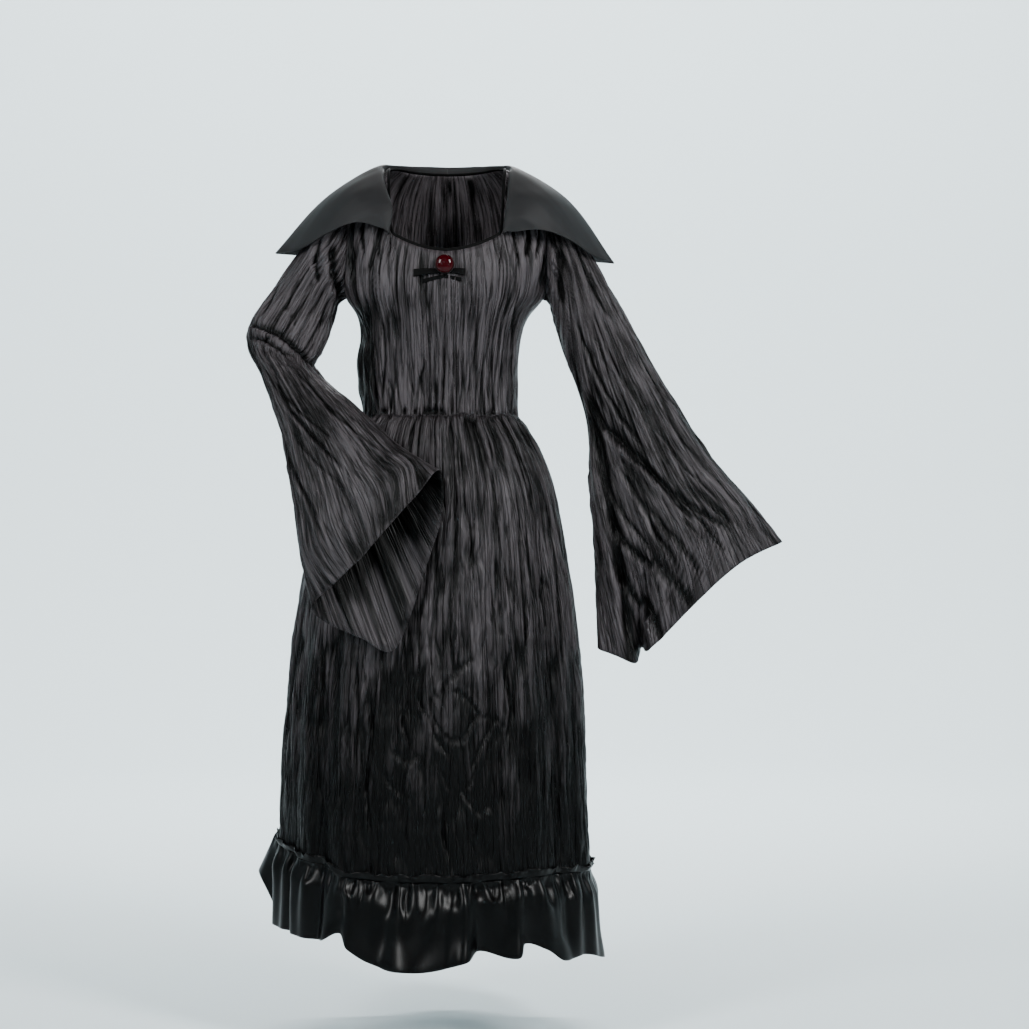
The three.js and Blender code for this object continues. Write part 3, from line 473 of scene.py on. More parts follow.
def lay_cloth(name, columns, rows, place, cut=None, turned=False, welded=False):
    """A grid laid into a shape by a function that gives its points, its painted shading and its own
    spread instead of the plain cut. Its UV map keeps the flat cloth's own sizes, in metres. Its painted
    shading is 0 at the bottom of a crease and 1 on a ridge, times the painted light and shade of that
    place."""
    grid = bmesh.new()
    bmesh.ops.create_grid(grid, x_segments=columns, y_segments=rows, size=0.5)
    mesh = bpy.data.meshes.new(name)
    grid.to_mesh(mesh)
    grid.free()
    flat = np.empty(len(mesh.vertices) * 3)
    mesh.vertices.foreach_get("co", flat)
    flat = flat.reshape(-1, 3) + 0.5
    points, painted_shading, spread = place(flat[:, 0], flat[:, 1])
    if spread is None:
        spread = flat[:, :2] * np.array(cut)
    corners = np.empty(len(mesh.loops), np.int32)
    mesh.loops.foreach_get("vertex_index", corners)
    cloth = mesh.uv_layers.new(name="cloth")
    cloth.uv.foreach_set("vector", (spread[corners] * MM).ravel())
    # Painted light and shade, kept on the points for the satin's colour.
    if painted_shading is not None:
        mesh.attributes.new("painted_shading", "FLOAT", "POINT").data.foreach_set("value", painted_shading)
    mesh.vertices.foreach_set("co", (points * MM).ravel())
    if turned:
        mesh.flip_normals()
    if welded:
        tube = bmesh.new()
        tube.from_mesh(mesh)
        bmesh.ops.remove_doubles(tube, verts=tube.verts, dist=WELD * MM)
        tube.to_mesh(mesh)
        tube.free()
    return link_piece(name, mesh)


# Painted shade from the raised height: the colour is darker down in creases, grooves and notches and
# lighter on ridges, 0.76 on the flat.
LEVEL_TONE = 0.76
HEIGHT_TONE = 0.2


def painted_crease_shade(height):
    return np.clip(LEVEL_TONE + HEIGHT_TONE * height, 0, 1)


def finish_piece(piece, material, slot, *nodes):
    piece.data.materials.append(material)
    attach(piece, "root")
    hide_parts(*nodes)


def sew(piece, thickness, material, slot, *nodes):
    """Gives a laid cloth its thickness, its finish and the CAD nodes that it stands for."""
    wall = piece.modifiers.new("Cloth thickness", "SOLIDIFY")
    wall.thickness = thickness * MM
    wall.offset = 0
    finish_piece(piece, material, slot, *nodes)
    return piece


def socket(material, name):
    return material.node_tree.nodes["Principled BSDF"].inputs[name]


def make_finish(name, color, roughness, specular=0.5):
    material = bpy.data.materials.new(name)
    material.use_nodes = True
    socket(material, "Base Color").default_value = (*color, 1)
    socket(material, "Roughness").default_value = roughness
    socket(material, "Specular IOR Level").default_value = specular
    return material


def cloth_places(material, scale):
    """Places on the cloth's own UV map, in repeats a metre across and along it."""
    uv_map = material.node_tree.nodes.new("ShaderNodeUVMap")
    uv_map.uv_map = "cloth"
    stretch = material.node_tree.nodes.new("ShaderNodeMapping")
    stretch.inputs["Scale"].default_value = (*scale, 1)
    material.node_tree.links.new(uv_map.outputs["UV"], stretch.inputs["Vector"])
    return stretch.outputs["Vector"]


def cloth_noise(material, scale, detail):
    texture = material.node_tree.nodes.new("ShaderNodeTexNoise")
    texture.inputs["Scale"].default_value = 1
    texture.inputs["Detail"].default_value = detail
    material.node_tree.links.new(cloth_places(material, scale), texture.inputs["Vector"])
    return texture.outputs["Fac"]


def add_bump(material, height, distance, strength, under=None):
    bump = material.node_tree.nodes.new("ShaderNodeBump")
    bump.inputs["Distance"].default_value = distance * MM
    bump.inputs["Strength"].default_value = strength
    material.node_tree.links.new(height, bump.inputs["Height"])
    if under:
        material.node_tree.links.new(under, bump.inputs["Normal"])
    material.node_tree.links.new(bump.outputs["Normal"], socket(material, "Normal"))
    return bump.outputs["Normal"]


def vary_color(material, factor, *stops):
    ramp = material.node_tree.nodes.new("ShaderNodeValToRGB")
    for element, (position, color) in zip(ramp.color_ramp.elements, stops):
        element.position = position
        element.color = (*color, 1)
    material.node_tree.links.new(factor, ramp.inputs["Fac"])
    material.node_tree.links.new(ramp.outputs["Color"], socket(material, "Base Color"))


def calculate(material, operation, first, second):
    """A maths node; each value is a socket or a number."""
    node = material.node_tree.nodes.new("ShaderNodeMath")
    node.operation = operation
    for entry, value in zip(node.inputs, (first, second)):
        if isinstance(value, (int, float)):
            entry.default_value = value
        else:
            material.node_tree.links.new(value, entry)
    return node.outputs["Value"]


def fine_grooves(material, scale, detail, sharpness):
    """0 in narrow grooves that follow the lines where the noise passes through a half, 1 elsewhere."""
    away = calculate(material, "SUBTRACT", cloth_noise(material, scale, detail), 0.5)
    away = calculate(material, "ABSOLUTE", away, 0)
    return calculate(material, "MINIMUM", calculate(material, "MULTIPLY", away, sharpness), 1)


def facet_tones(material, scale, wander):
    """A tone for each long narrow facet of the crushed cloth, in facets a metre across and along it.
    It is a bump, and painted light and shade as if each facet were tilted its own way to the lamps.
    """
    nodes = material.node_tree.nodes
    links = material.node_tree.links
    bend = nodes.new("ShaderNodeCombineXYZ")
    shift = nodes.new("ShaderNodeVectorMath")
    cells = nodes.new("ShaderNodeTexVoronoi")
    cells.voronoi_dimensions = "2D"
    cells.inputs["Scale"].default_value = 1
    links.new(calculate(material, "MULTIPLY", cloth_noise(material, (30, 26), 1), wander), bend.inputs["X"])
    links.new(cloth_places(material, scale), shift.inputs[0])
    links.new(bend.outputs["Vector"], shift.inputs[1])
    links.new(shift.outputs["Vector"], cells.inputs["Vector"])
    return cells.outputs["Color"]


crinkled_satin = make_finish("Crinkled satin", (0.014, 0.013, 0.0145), 0.4, 0.1)
pleats = fine_grooves(crinkled_satin, (130, 6), 1.5, 17)
threads = fine_grooves(crinkled_satin, (330, 20), 1.5, 11)
facets = facet_tones(crinkled_satin, (150, 11), 3)
patches = cloth_noise(crinkled_satin, (22, 7), 3)
# The painted light and shade that each cloth piece gives its points, read as an attribute.
painted_shading = crinkled_satin.node_tree.nodes.new("ShaderNodeAttribute")
painted_shading.attribute_name = "painted_shading"


def soften(value, share):
    """The value from 0 to 1, brought closer to 1 so that it darkens by no more than a share."""
    return calculate(crinkled_satin, "ADD", calculate(crinkled_satin, "MULTIPLY", value, share), 1 - share)


# The satin's colour is painted light and shade: near black in the pleat and thread grooves, lighter or
# darker on each facet as if it were tilted its own way to the lamps, and times the painted shading of each
# piece; patches of tone that differ at random lie over it.
tone = calculate(crinkled_satin, "MULTIPLY", soften(pleats, 0.62), soften(threads, 0.35))
tone = calculate(crinkled_satin, "MULTIPLY", tone, soften(facets, 0.62))
tone = calculate(crinkled_satin, "MULTIPLY", tone, painted_shading.outputs["Fac"])
tone = calculate(crinkled_satin, "MULTIPLY", tone, calculate(crinkled_satin, "ADD", patches, 0.6))
vary_color(crinkled_satin, tone, (0.12, (0.0004, 0.0004, 0.0004)), (0.85, (0.054, 0.0475, 0.051)))
under_facets = add_bump(crinkled_satin, facets, 1.1, 0.8)
under_pleats = add_bump(crinkled_satin, pleats, 1.3, 1, under_facets)
add_bump(crinkled_satin, threads, 0.5, 0.7, under_pleats)

BODICE_CRINKLE = 1.3
BODICE_CRUSH = 1.4
BODICE_GATHER = 2.6
PUCKER = 2.6
NOTCH = 5
# Painted light and shade on the bodice: the first number paints the whole bodice lighter than the skirt,
# and the others paint shade on its side under the wearer's right arm, front and back, fading in over the
# given x and z.
BODICE_PAINTED_LIGHT = 1.45
SIDE_SHADE = 0.86
SIDE_SHADE_X = (-132, -106)
SIDE_SHADE_Z = (-225, -190)


def flat_edge(u, v, sides, bottom, top):
    """0 along a sheet's edges, so that it meets the next one, and 1 from a share of the sheet on."""
    return ease(0, sides, np.minimum(u, 1 - u)) * ease(0, bottom, v) * ease(0, top, 1 - v)


def bodice(panel, creases, columns, rows, seed):
    def place(u, v):
        base = panel_points(panel, u, v)
        spread = upright_spread(base, facing)
        across, along = spread.T
        height = BODICE_CRINKLE * crinkle(across, along, seed) + BODICE_CRUSH * crush(across, along, seed)
        height += BODICE_GATHER * gathers(across, along, 80, 9, seed)
        height += PUCKER * gathers(across, along, 20, 6, seed + 20)
        height -= NOTCH * notches(across, along, seed)
        height = flat_edge(u, v, 0.025, 0.006, 0.03) * (height + creased(base, creases))
        out = raised(partial(panel_points, panel), u, v, height, facing)
        # Painted shade under the wearer's right arm, and painted light over the whole bodice, times the
        # painted crease shade.
        painted_side_shade = (1 - ease(*SIDE_SHADE_X, base[:, 0])) * (1 - ease(*SIDE_SHADE_Z, base[:, 2]))
        return base + out, BODICE_PAINTED_LIGHT * painted_crease_shade(height) * (1 - SIDE_SHADE * painted_side_shade), spread

    facing = 1 if panel == "front" else -1
    piece = lay_cloth(f"bodice_{panel}_cloth", columns, rows, place, turned=panel == "back")
    return sew(piece, CLOTH, crinkled_satin, "crinkled_satin", f"bodice_{panel}")


bodice_front = bodice("front", BODICE_FRONT_CREASES, 280, 74, 3)
bodice_back = bodice("back", BODICE_BACK_CREASES, 230, 64, 23)

# Neckline binding: a narrow bias strip of black satin, folded over the cut edge of the neckline and
# stitched. It is one rounded strip swept all round the opening, just inside the edge of the panels.
BINDING_WIDTH = 5.2
BINDING_WALL = 2.6
BINDING_START = 0.1
BINDING_CUT = (860, 30)


def neck_place(neck, side, back):
    angle, rise = neck_edge(neck, back)
    return side * (180 - angle if back else angle), rise


def neck_frames(neck, side, back):
    """Points on the neck edge with the direction out of the cloth and the way into the opening."""
    angle, rise = neck_place(neck, side, back)
    top = np.minimum(rise, RISE - 1)
    step = 0.5
    across = trunk_points(angle + step, top) - trunk_points(angle - step, top)
    up = trunk_points(angle, top + step) - trunk_points(angle, top - step)
    out = unit(np.cross(across, up))
    ahead = trunk_points(*neck_place(np.minimum(neck + 0.01, 1), side, back))
    behind = trunk_points(*neck_place(np.maximum(neck - 0.01, 0), side, back))
    along = (behind - ahead) if back else (ahead - behind)
    inward = unit(np.cross(along, out) * np.reshape(side, (-1, 1)))
    return trunk_points(angle, rise), out, inward


def binding_points(u, v):
    at = u * 4 % 4
    side = np.where(at < 2, 1, -1)
    whole = np.where(at < 2, at, 4 - at)
    front = neck_frames(np.clip(1 - whole, 0, 1), side, False)
    rear = neck_frames(np.clip(whole - 1, 0, 1), side, True)
    behind = (whole > 1)[:, None]
    point, out, inward = (np.where(behind, there, here) for here, there in zip(front, rear))
    turn = 2 * math.pi * v
    through = BINDING_WALL / 2 * power(np.sin(turn), 0.8)
    over = BINDING_START + BINDING_WIDTH / 2 * (1 + power(np.cos(turn), 0.8))
    pucker = 1 + 0.12 * (noise(u * 140, v * 0, 40) - 0.5)
    return point + out * (through * pucker)[:, None] + inward * over[:, None], None, None


binding_satin = make_finish("Binding satin", (0.0014, 0.0014, 0.0014), 0.65, 0.06)
neck_binding = lay_cloth("neck_binding_strip", 320, 14, binding_points, BINDING_CUT, welded=True)
finish_piece(neck_binding, binding_satin, "binding", "neck_binding")

# Skirt: a front and a back of the same crinkled satin, gathered into the waist seam, wide at the
# hips and hanging in long folds. A ring-shaped crush and zigzag tucks mark the middle of its front.
GATHERS = 36
WAIST_GATHER = 3.5
SKIRT_CUT = (660, 800)
SKIRT_FOLDS = table(
    Fold,
    (-84, 6, 7, -560, -1190),
    (-66, 5, -9, -700, -1190),
    (-44, 5, -12, -680, -1190),
    (-33, 6, 7, -720, -1190),
    (-14, 6, -6, -470, -800),
    (4, 6, 6, -520, -1190),
    (20, 5, -7, -620, -1190),
    (38, 7, 6, -480, -1190),
    (52, 5, -9, -520, -1190),
    (72, 7, 6, -600, -1190),
    (106, 6, -10, -560, -1190),
    (128, 7, 8, -600, -1190),
    (150, 6, -11, -500, -1190),
    (172, 7, 9, -540, -1190),
    (194, 6, -10, -520, -1190),
    (216, 7, 8, -620, -1190),
    (238, 6, -9, -560, -1190),
)
Edge = namedtuple("Edge", "angle seam hem out")
EDGE = table(
    Edge,
    (-109, -1092, -1200, 62),
    (-99, -1106, -1206, 50),
    (-92, -1126, -1264, 14),
    (-80, -1140, -1278, 12),
    (-62, -1150, -1282, 14),
    (-40, -1164, -1286, 14),
    (-31, -1176, -1270, 10),
    (-27, -1178, -1295, 24),
    (-15, -1182, -1322, 26),
    (-5, -1183, -1328, 44),
    (3, -1183, -1323, 22),
    (9, -1183, -1313, 30),
    (14, -1183, -1297, 12),
    (27, -1180, -1310, 28),
    (31, -1179, -1288, 12),
    (39, -1177, -1299, 18),
    (48, -1177, -1322, 26),
    (64, -1180, -1320, 14),
    (81, -1182, -1335, 22),
    (92, -1183, -1330, 16),
    (110, -1185, -1322, 12),
    (132, -1186, -1334, 30),
    (156, -1187, -1318, 14),
    (178, -1186, -1330, 30),
    (200, -1176, -1306, 14),
    (222, -1140, -1270, 34),
    (238, -1108, -1222, 30),
)
SKIRT_FRONT_CREASES = crease_table(
    (5.0, 7.0, (-186, -770), (-184, -900), (-188, -1020), (-184, -1110)),
    (3.6, 4.0, (-212, -760), (-208, -860), (-214, -960)),
    (3.2, 3.6, (-150, -800), (-146, -900), (-152, -1010)),
    (2.6, 3.4, (182, -598), (192, -700), (205, -870)),
    (2.6, 3.0, (188, -900), (192, -980), (197, -1060)),
    (2.2, 2.8, (160, -640), (170, -760), (178, -860)),
    (2.4, 2.8, (120, -560), (132, -700), (140, -820)),
    (2.8, 4.2, (5, -858), (-24, -880), (-22, -902), (-7, -930), (12, -945), (33, -947), (42, -926),
                      (60, -904), (46, -884), (29, -867), (5, -858)),
    (2.8, 4.2, (-54, -858), (-42, -887), (-22, -915), (-14, -945), (2, -966), (22, -988)),
    (3.4, 4.2, (-10, -864), (18, -836), (34, -822), (56, -806)),
    (3.2, 3.8, (-96, -958), (-74, -978), (-58, -984), (-32, -968)),
    (3.2, 3.8, (54, -904), (84, -914), (106, -924)),
    (3.2, 3.8, (44, -1004), (64, -950), (92, -906)),
    (3.2, 3.8, (-104, -1008), (-76, -1036), (-50, -1044)),
    (3.2, 3.8, (20, -1006), (40, -1050), (60, -1070), (88, -1058)),
    (2.6, 4.0, (-8, -990), (8, -1030), (34, -1034), (52, -1004)),
    (2.6, 4.0, (-60, -880), (-72, -920), (-58, -956), (-70, -1000)),
    (3.4, 5.0, (112, -780), (104, -840), (114, -900), (104, -960)),
    (3.4, 5.0, (-128, -860), (-122, -940), (-132, -1030), (-124, -1110)),
    (3.0, 4.0, (4, -1050), (-2, -1100), (8, -1150)),
    (3.0, 4.0, (56, -1080), (50, -1120), (58, -1160)),
    (2.6, 3.0, (96, -930), (92, -1000), (100, -1090)),
    (2.6, 3.0, (-60, -1050), (-64, -1100), (-56, -1150)),
    (2.4, 2.6, (-110, -740), (-104, -830), (-112, -930)),
    (2.4, 2.8, (-66, -700), (-70, -780), (-64, -860)),
    (2.4, 3.0, (22, -420), (20, -470), (26, -530)),
    (2.4, 2.8, (-10, -416), (-14, -450), (-8, -500)),
    (2.4, 2.8, (64, -418), (78, -460), (84, -540)),
    (2.4, 2.8, (96, -416), (120, -460), (138, -520)),
    (2.0, 2.2, (40, -560), (46, -620), (40, -690)),
    (2.0, 2.2, (80, -600), (76, -680), (84, -760)),
    (2.0, 2.2, (-20, -740), (-26, -790), (-18, -840)),
    (2.6, 3.2, (-236, -900), (-232, -980), (-238, -1070)),
    (2.4, 2.6, (140, -960), (150, -1040), (146, -1120)),
)
SKIRT_BACK_CREASES = crease_table(
    (4.4, 6.0, (150, -640), (158, -800), (152, -960), (158, -1100)),
    (3.4, 4.0, (-160, -700), (-166, -840), (-160, -1000)),
    (2.6, 3.2, (-60, -560), (-66, -700), (-58, -860)),
    (2.6, 3.2, (60, -480), (68, -620), (62, -740)),
    (2.4, 3.0, (-20, -880), (6, -868), (34, -880), (46, -908), (30, -936), (0, -942), (-22, -920),
                      (-20, -880)),
    (2.2, 2.6, (-100, -900), (-80, -940), (-92, -990), (-70, -1040)),
    (2.2, 2.6, (100, -860), (120, -900), (104, -950), (124, -1010)),
    (2.4, 2.6, (-30, -416), (-36, -460), (-30, -530)),
    (2.4, 2.6, (40, -414), (52, -460), (56, -540)),
    (2.6, 3.0, (200, -760), (206, -880), (200, -1000)),
    (2.6, 3.0, (-220, -780), (-214, -900), (-222, -1040)),
    (2.2, 2.4, (10, -990), (24, -1030), (50, -1050), (78, -1040)),
)
SKIRT_CRINKLE = 1.6
SKIRT_CRUSH = 2.6
SKIRT_GATHER = 3.4
PUFF = 4
PUFF_BELOW = 13
PUFF_WIDTH = 9
# Painted shade that darkens the skirt towards its hem, where the light falls off, over the given fall and
# with an uneven edge.
HEM_SHADE = 0.86
HEM_SHADE_FALL = (260, 770)
HEM_SHADE_UNEVEN = 120


def edge_value(angle, column):
    """A column of the hem's table, which goes once round the gown."""
    rows = [EDGE[-1]._replace(angle=EDGE[-1].angle - 360), *EDGE]
    rows += [row._replace(angle=row.angle + 360) for row in EDGE[:2]]
    return read(rows, "angle", EDGE[0].angle + (angle - EDGE[0].angle) % 360, column)


def gather_wave(angle):
    uneven = 0.75 + 0.25 * np.sin(np.radians(angle * 5) + 1)
    return uneven * np.cos(np.radians(angle * GATHERS))


def skirt_level(angle, z):
    below = WAIST_Z - z
    gathered = ease(0, 22, below) * (1 - ease(40, 190, below))
    depth = fold_depth(SKIRT_FOLDS, angle, z) + WAIST_GATHER * gathered * gather_wave(angle)
    points = level_points(angle, z) + outward(angle) * depth[:, None]
    points[:, 2] += seam_ripple(angle, z)
    return points


def round_angle(panel, u):
    return mix(-SIDE_EDGE, SIDE_EDGE, u) + (180 if panel == "back" else 0)


def skirt_points(panel, u, v):
    angle = round_angle(panel, u)
    return skirt_level(angle, mix(WAIST_Z, edge_value(angle, "seam"), v))


def skirt(panel, creases, columns, rows, seed):
    def place(u, v):
        base = skirt_points(panel, u, v)
        across = u * SKIRT_CUT[0]
        along = v * SKIRT_CUT[1]
        below = WAIST_Z - base[:, 2]
        height = SKIRT_CRINKLE * crinkle(across, along, seed) + SKIRT_CRUSH * crush(across, along, seed)
        height *= 0.6 + 0.4 * ease(0, 120, below)
        height += SKIRT_GATHER * gathers(across, below, 170, 11, seed)
        height += PUCKER * gathers(across, below, 26, 7, seed + 20)
        height -= NOTCH * notches(across, below, seed)
        puff = np.exp(-(((below - PUFF_BELOW) / PUFF_WIDTH) ** 2))
        height += PUFF * noise(across / 17, 0 * across, seed + 30) * puff
        height = flat_edge(u, v, 0.02, 0.003, 0.012) * (height + creased(base, creases))
        out = raised(partial(skirt_points, panel), u, v, height, -1)
        # Painted shade, darker towards the hem, with an uneven edge, times the painted crease shade.
        fall = below + HEM_SHADE_UNEVEN * (noise(across / 20, below / 260, seed + 40) - 0.5)
        shade = 1 - HEM_SHADE * ease(*HEM_SHADE_FALL, fall)
        return base + out, painted_crease_shade(height) * shade, None

    piece = lay_cloth(f"skirt_{panel}_cloth", columns, rows, place, SKIRT_CUT, turned=True)
    return sew(piece, CLOTH, crinkled_satin, "crinkled_satin", f"skirt_{panel}")


skirt_front = skirt("front", SKIRT_FRONT_CREASES, 440, 106, 47)
skirt_back = skirt("back", SKIRT_BACK_CREASES, 340, 84, 61)

# Flounce: a deep frill of smooth, glossy black satin, gathered on to the skirt's edge and flaring out
# in uneven waves. Small scoops below the gathers catch the light, and one wide flare stands in front.
SATIN = 1.0
FLOUNCE_PUFF = 9
FLOUNCE_GATHER = 4.5
FLOUNCE_CUT = (900, 160)
FLOUNCE_PUCKER = 2.6
FLOUNCE_RIPPLE = 1.2
FLOUNCE_SWELL = 2.2
BACK_SCOOPS = 0.96
Scoop = namedtuple("Scoop", "angle width start drop depth")
SCOOPS = table(
    Scoop,
    (-84, 2.6, 0.1, 0.16, 6),
    (-66, 1.7, 0.08, 0.14, 5),
    (-50, 1.9, 0.1, 0.15, 6),
    (-39, 1.8, 0.12, 0.3, 6),
    (-28, 1.5, 0.06, 0.16, 5),
    (-21, 1.2, 0.05, 0.1, 4),
    (-13, 2.1, 0.12, 0.26, 8),
    (-7.5, 1.6, 0.1, 0.24, 7),
    (-1.5, 2.0, 0.12, 0.22, 8),
    (5.5, 1.7, 0.1, 0.2, 7),
    (-31, 2.2, 0.4, 0.3, 6),
    (14, 1.3, 0.06, 0.12, 4),
    (20, 1.9, 0.12, 0.14, 7),
    (25, 1.2, 0.05, 0.1, 4),
    (33, 1.2, 0.05, 0.1, 4),
    (44, 2.6, 0.16, 0.2, 8),
    (56, 1.8, 0.1, 0.16, 6),
    (68, 1.8, 0.1, 0.2, 6),
    (80, 1.8, 0.1, 0.16, 6),
)
Flare = namedtuple("Flare", "angle width depth")
FLARES = table(
    Flare,
    (-38, 5, 8),
    (-10, 12, 12),
    (8, 3, 8),
    (26, 4, 8),
    (52, 5, 8),
    (84, 5, 8),
    (134, 5, 10),
    (178, 6, 12),
    (222, 6, 10),
)


def flounce_base(panel, u, v):
    angle = round_angle(panel, u)
    seam = edge_value(angle, "seam")
    out = edge_value(angle, "out") - FLOUNCE_PUFF
    puff = FLOUNCE_PUFF * ease(0, 0.3, v) + out * v
    gather = FLOUNCE_GATHER * ease(0, 0.2, v) * (1 - 0.7 * v) * gather_wave(angle)
    points = skirt_level(angle, seam) + outward(angle) * (puff + gather)[:, None]
    points[:, 2] = mix(seam, edge_value(angle, "hem"), v)
    return points


def flounce(panel, columns, rows, seed):
    def place(u, v):
        base = flounce_base(panel, u, v)
        angle = round_angle(panel, u)
        across = u * FLOUNCE_CUT[0]
        along = v * FLOUNCE_CUT[1]
        height = FLOUNCE_PUCKER * gathers(across, along, 110, 17, seed)
        height += FLOUNCE_RIPPLE * gathers(across, along, 34, 6, seed + 3)
        height += FLOUNCE_SWELL * (noise(across / 46, along / 90, seed) - 0.5) * ease(0, 30, along)
        for scoop in SCOOPS:
            for middle in (scoop.angle, 180 - scoop.angle * BACK_SCOOPS):
                away = turn_from(angle, middle) / scoop.width
                drop = (v - scoop.start) / scoop.drop
                bowl = np.exp(-(away**2) - np.where(drop > 0, drop**4, 3 * drop**2))
                height -= scoop.depth * bowl
        for flare in FLARES:
            away = turn_from(angle, flare.angle) / flare.width
            height += flare.depth * np.exp(-(away**2)) * (ease(0.45, 1, v) ** 2 - 0.35 * v)
        edge = ease(0, 0.015, np.minimum(u, 1 - u)) * ease(0, 0.03, v)
        return base + raised(partial(flounce_base, panel), u, v, height * edge, -1), None, None

    piece = lay_cloth(f"flounce_{panel}_frill", columns, rows, place, FLOUNCE_CUT, turned=True)
    return sew(piece, SATIN, glossy_satin, "glossy_satin", f"flounce_{panel}")


glossy_satin = make_finish("Glossy satin", (0.0007, 0.0006, 0.0006), 0.3, 0.11)
add_bump(glossy_satin, cloth_noise(glossy_satin, (900, 900), 2), 0.25, 0.25)
flounce_front = flounce("front", 420, 38, 71)
flounce_back = flounce("back", 340, 32, 83)

# Flounce heading: the flounce's own top edge, turned in and left standing above the gathering
# stitches as a narrow ruffle that stands off the skirt.
HEADING_HEIGHT = 13
HEADING_RUFFLE = 3.4
HEADING_CLEAR = 2.4
HEADING_CUT = (900, 15)


def heading_base(panel, u, v):
    angle = round_angle(panel, u)
    height = edge_value(angle, "seam") + v * HEADING_HEIGHT
    wave = gather_wave(angle) + 1.6 * (noise(angle / 2, v * 0, 90) - 0.5)
    ruffle = HEADING_CLEAR + v * HEADING_RUFFLE * (1 + wave)
    points = skirt_level(angle, height) + outward(angle) * ruffle[:, None]
    points[:, 2] = height + v * (7 * noise(angle / 2.3, v * 0, 91) - 5)
    return points


for panel, columns in (("front", 400), ("back", 320)):
    heading = lay_cloth(
        f"heading_{panel}_ruffle",
        columns,
        6,
        lambda u, v: (heading_base(panel, u, v), None, None),
        HEADING_CUT,
    )
    sew(heading, SATIN, glossy_satin, "glossy_satin", f"flounce_heading_{panel}")

# Sleeves: two long bell sleeves of the crinkled satin, gathered into the armholes and closed by one
# seam under the arm. The right one is bent at the elbow, and both open into very wide pointed cuffs.
Oval = namedtuple("Oval", "outer inner depth")
Cuff = namedtuple("Cuff", "around x y z")
SleeveFold = namedtuple("SleeveFold", "around width start depth")
Sleeve = namedtuple("Sleeve", "name side ovals cuff folds creases fan bent")
RIGHT_SLEEVE = Sleeve(
    name="right",
    side=-1,
    ovals=table(
        Oval,
        ((-211, 0, -52), (-190, 0, -197), 60),
        ((-251, -2, -104), (-195, -2, -214), 60),
        ((-306, -12, -182), (-205, -9, -251), 57),
        ((-342, -29, -238), (-219, -24, -288), 54),
        ((-344, -42, -276), (-229, -40, -310), 52),
        ((-323, -64, -318), (-212, -62, -332), 49),
        ((-301, -87, -370), (-185, -84, -357), 46),
        ((-281, -107, -424), (-152, -110, -385), 44),
        ((-268, -128, -488), (-114, -140, -419), 42),
        ((-254, -150, -560), (-77, -168, -451), 40),
        ((-241, -168, -642), (-42, -188, -474), 40),
    ),
    cuff=table(
        Cuff,
        (0, -224, -182, -726),
        (0.1, -183, -208, -684),
        (0.2, -142, -226, -642),
        (0.3, -98, -234, -596),
        (0.4, -48, -230, -540),
        (0.5, -7, -204, -494),
        (0.6, -4, -178, -570),
        (0.7, -38, -171, -672),
        (0.78, -82, -190, -792),
        (0.86, -136, -186, -779),
        (0.94, -190, -172, -757),
    ),
    folds=table(
        SleeveFold,
        (0.2, 0.05, 0.5, -7),
        (0.36, 0.05, 0.45, 6),
        (0.72, 0.06, 0.6, 6),
        (0.9, 0.05, 0.5, -8),
    ),
    creases=crease_table(
        (2.4, 3.2, (-318, -292), (-286, -286), (-250, -300)),
        (2.2, 3.0, (-330, -270), (-296, -262), (-262, -268)),
        (2.2, 2.6, (-306, -318), (-276, -312), (-244, -322)),
        (2.4, 2.8, (-284, -204), (-262, -232), (-252, -262)),
        (2.2, 2.4, (-226, -112), (-236, -150), (-228, -186)),
        (2.4, 2.6, (-252, -150), (-268, -186), (-276, -224)),
        (2.2, 2.4, (-286, -352), (-240, -400), (-180, -446)),
        (2.4, 2.8, (-270, -420), (-218, -478), (-150, -540)),
        (2.2, 2.4, (-256, -500), (-218, -560), (-176, -620)),
        (2.2, 2.2, (-222, -372), (-160, -420), (-90, -474)),
        (4.4, 7.0, (-352, -228), (-332, -240), (-290, -256), (-255, -285), (-222, -322)),
        (3.0, 4.6, (-344, -262), (-312, -268), (-284, -286), (-262, -312)),
        (6.0, 8.5, (-198, -96), (-197, -134), (-192, -162), (-184, -200)),
        (4.0, 6.4, (-216, -82), (-226, -128), (-220, -176)),
        (3.0, 4.0, (-288, -148), (-300, -190), (-322, -232)),
        (3.2, 4.6, (-296, -330), (-262, -392), (-208, -452), (-160, -500)),
        (3.2, 4.6, (-290, -410), (-262, -480), (-222, -560), (-190, -640)),
    ),
    fan=None,
    bent=True,
)
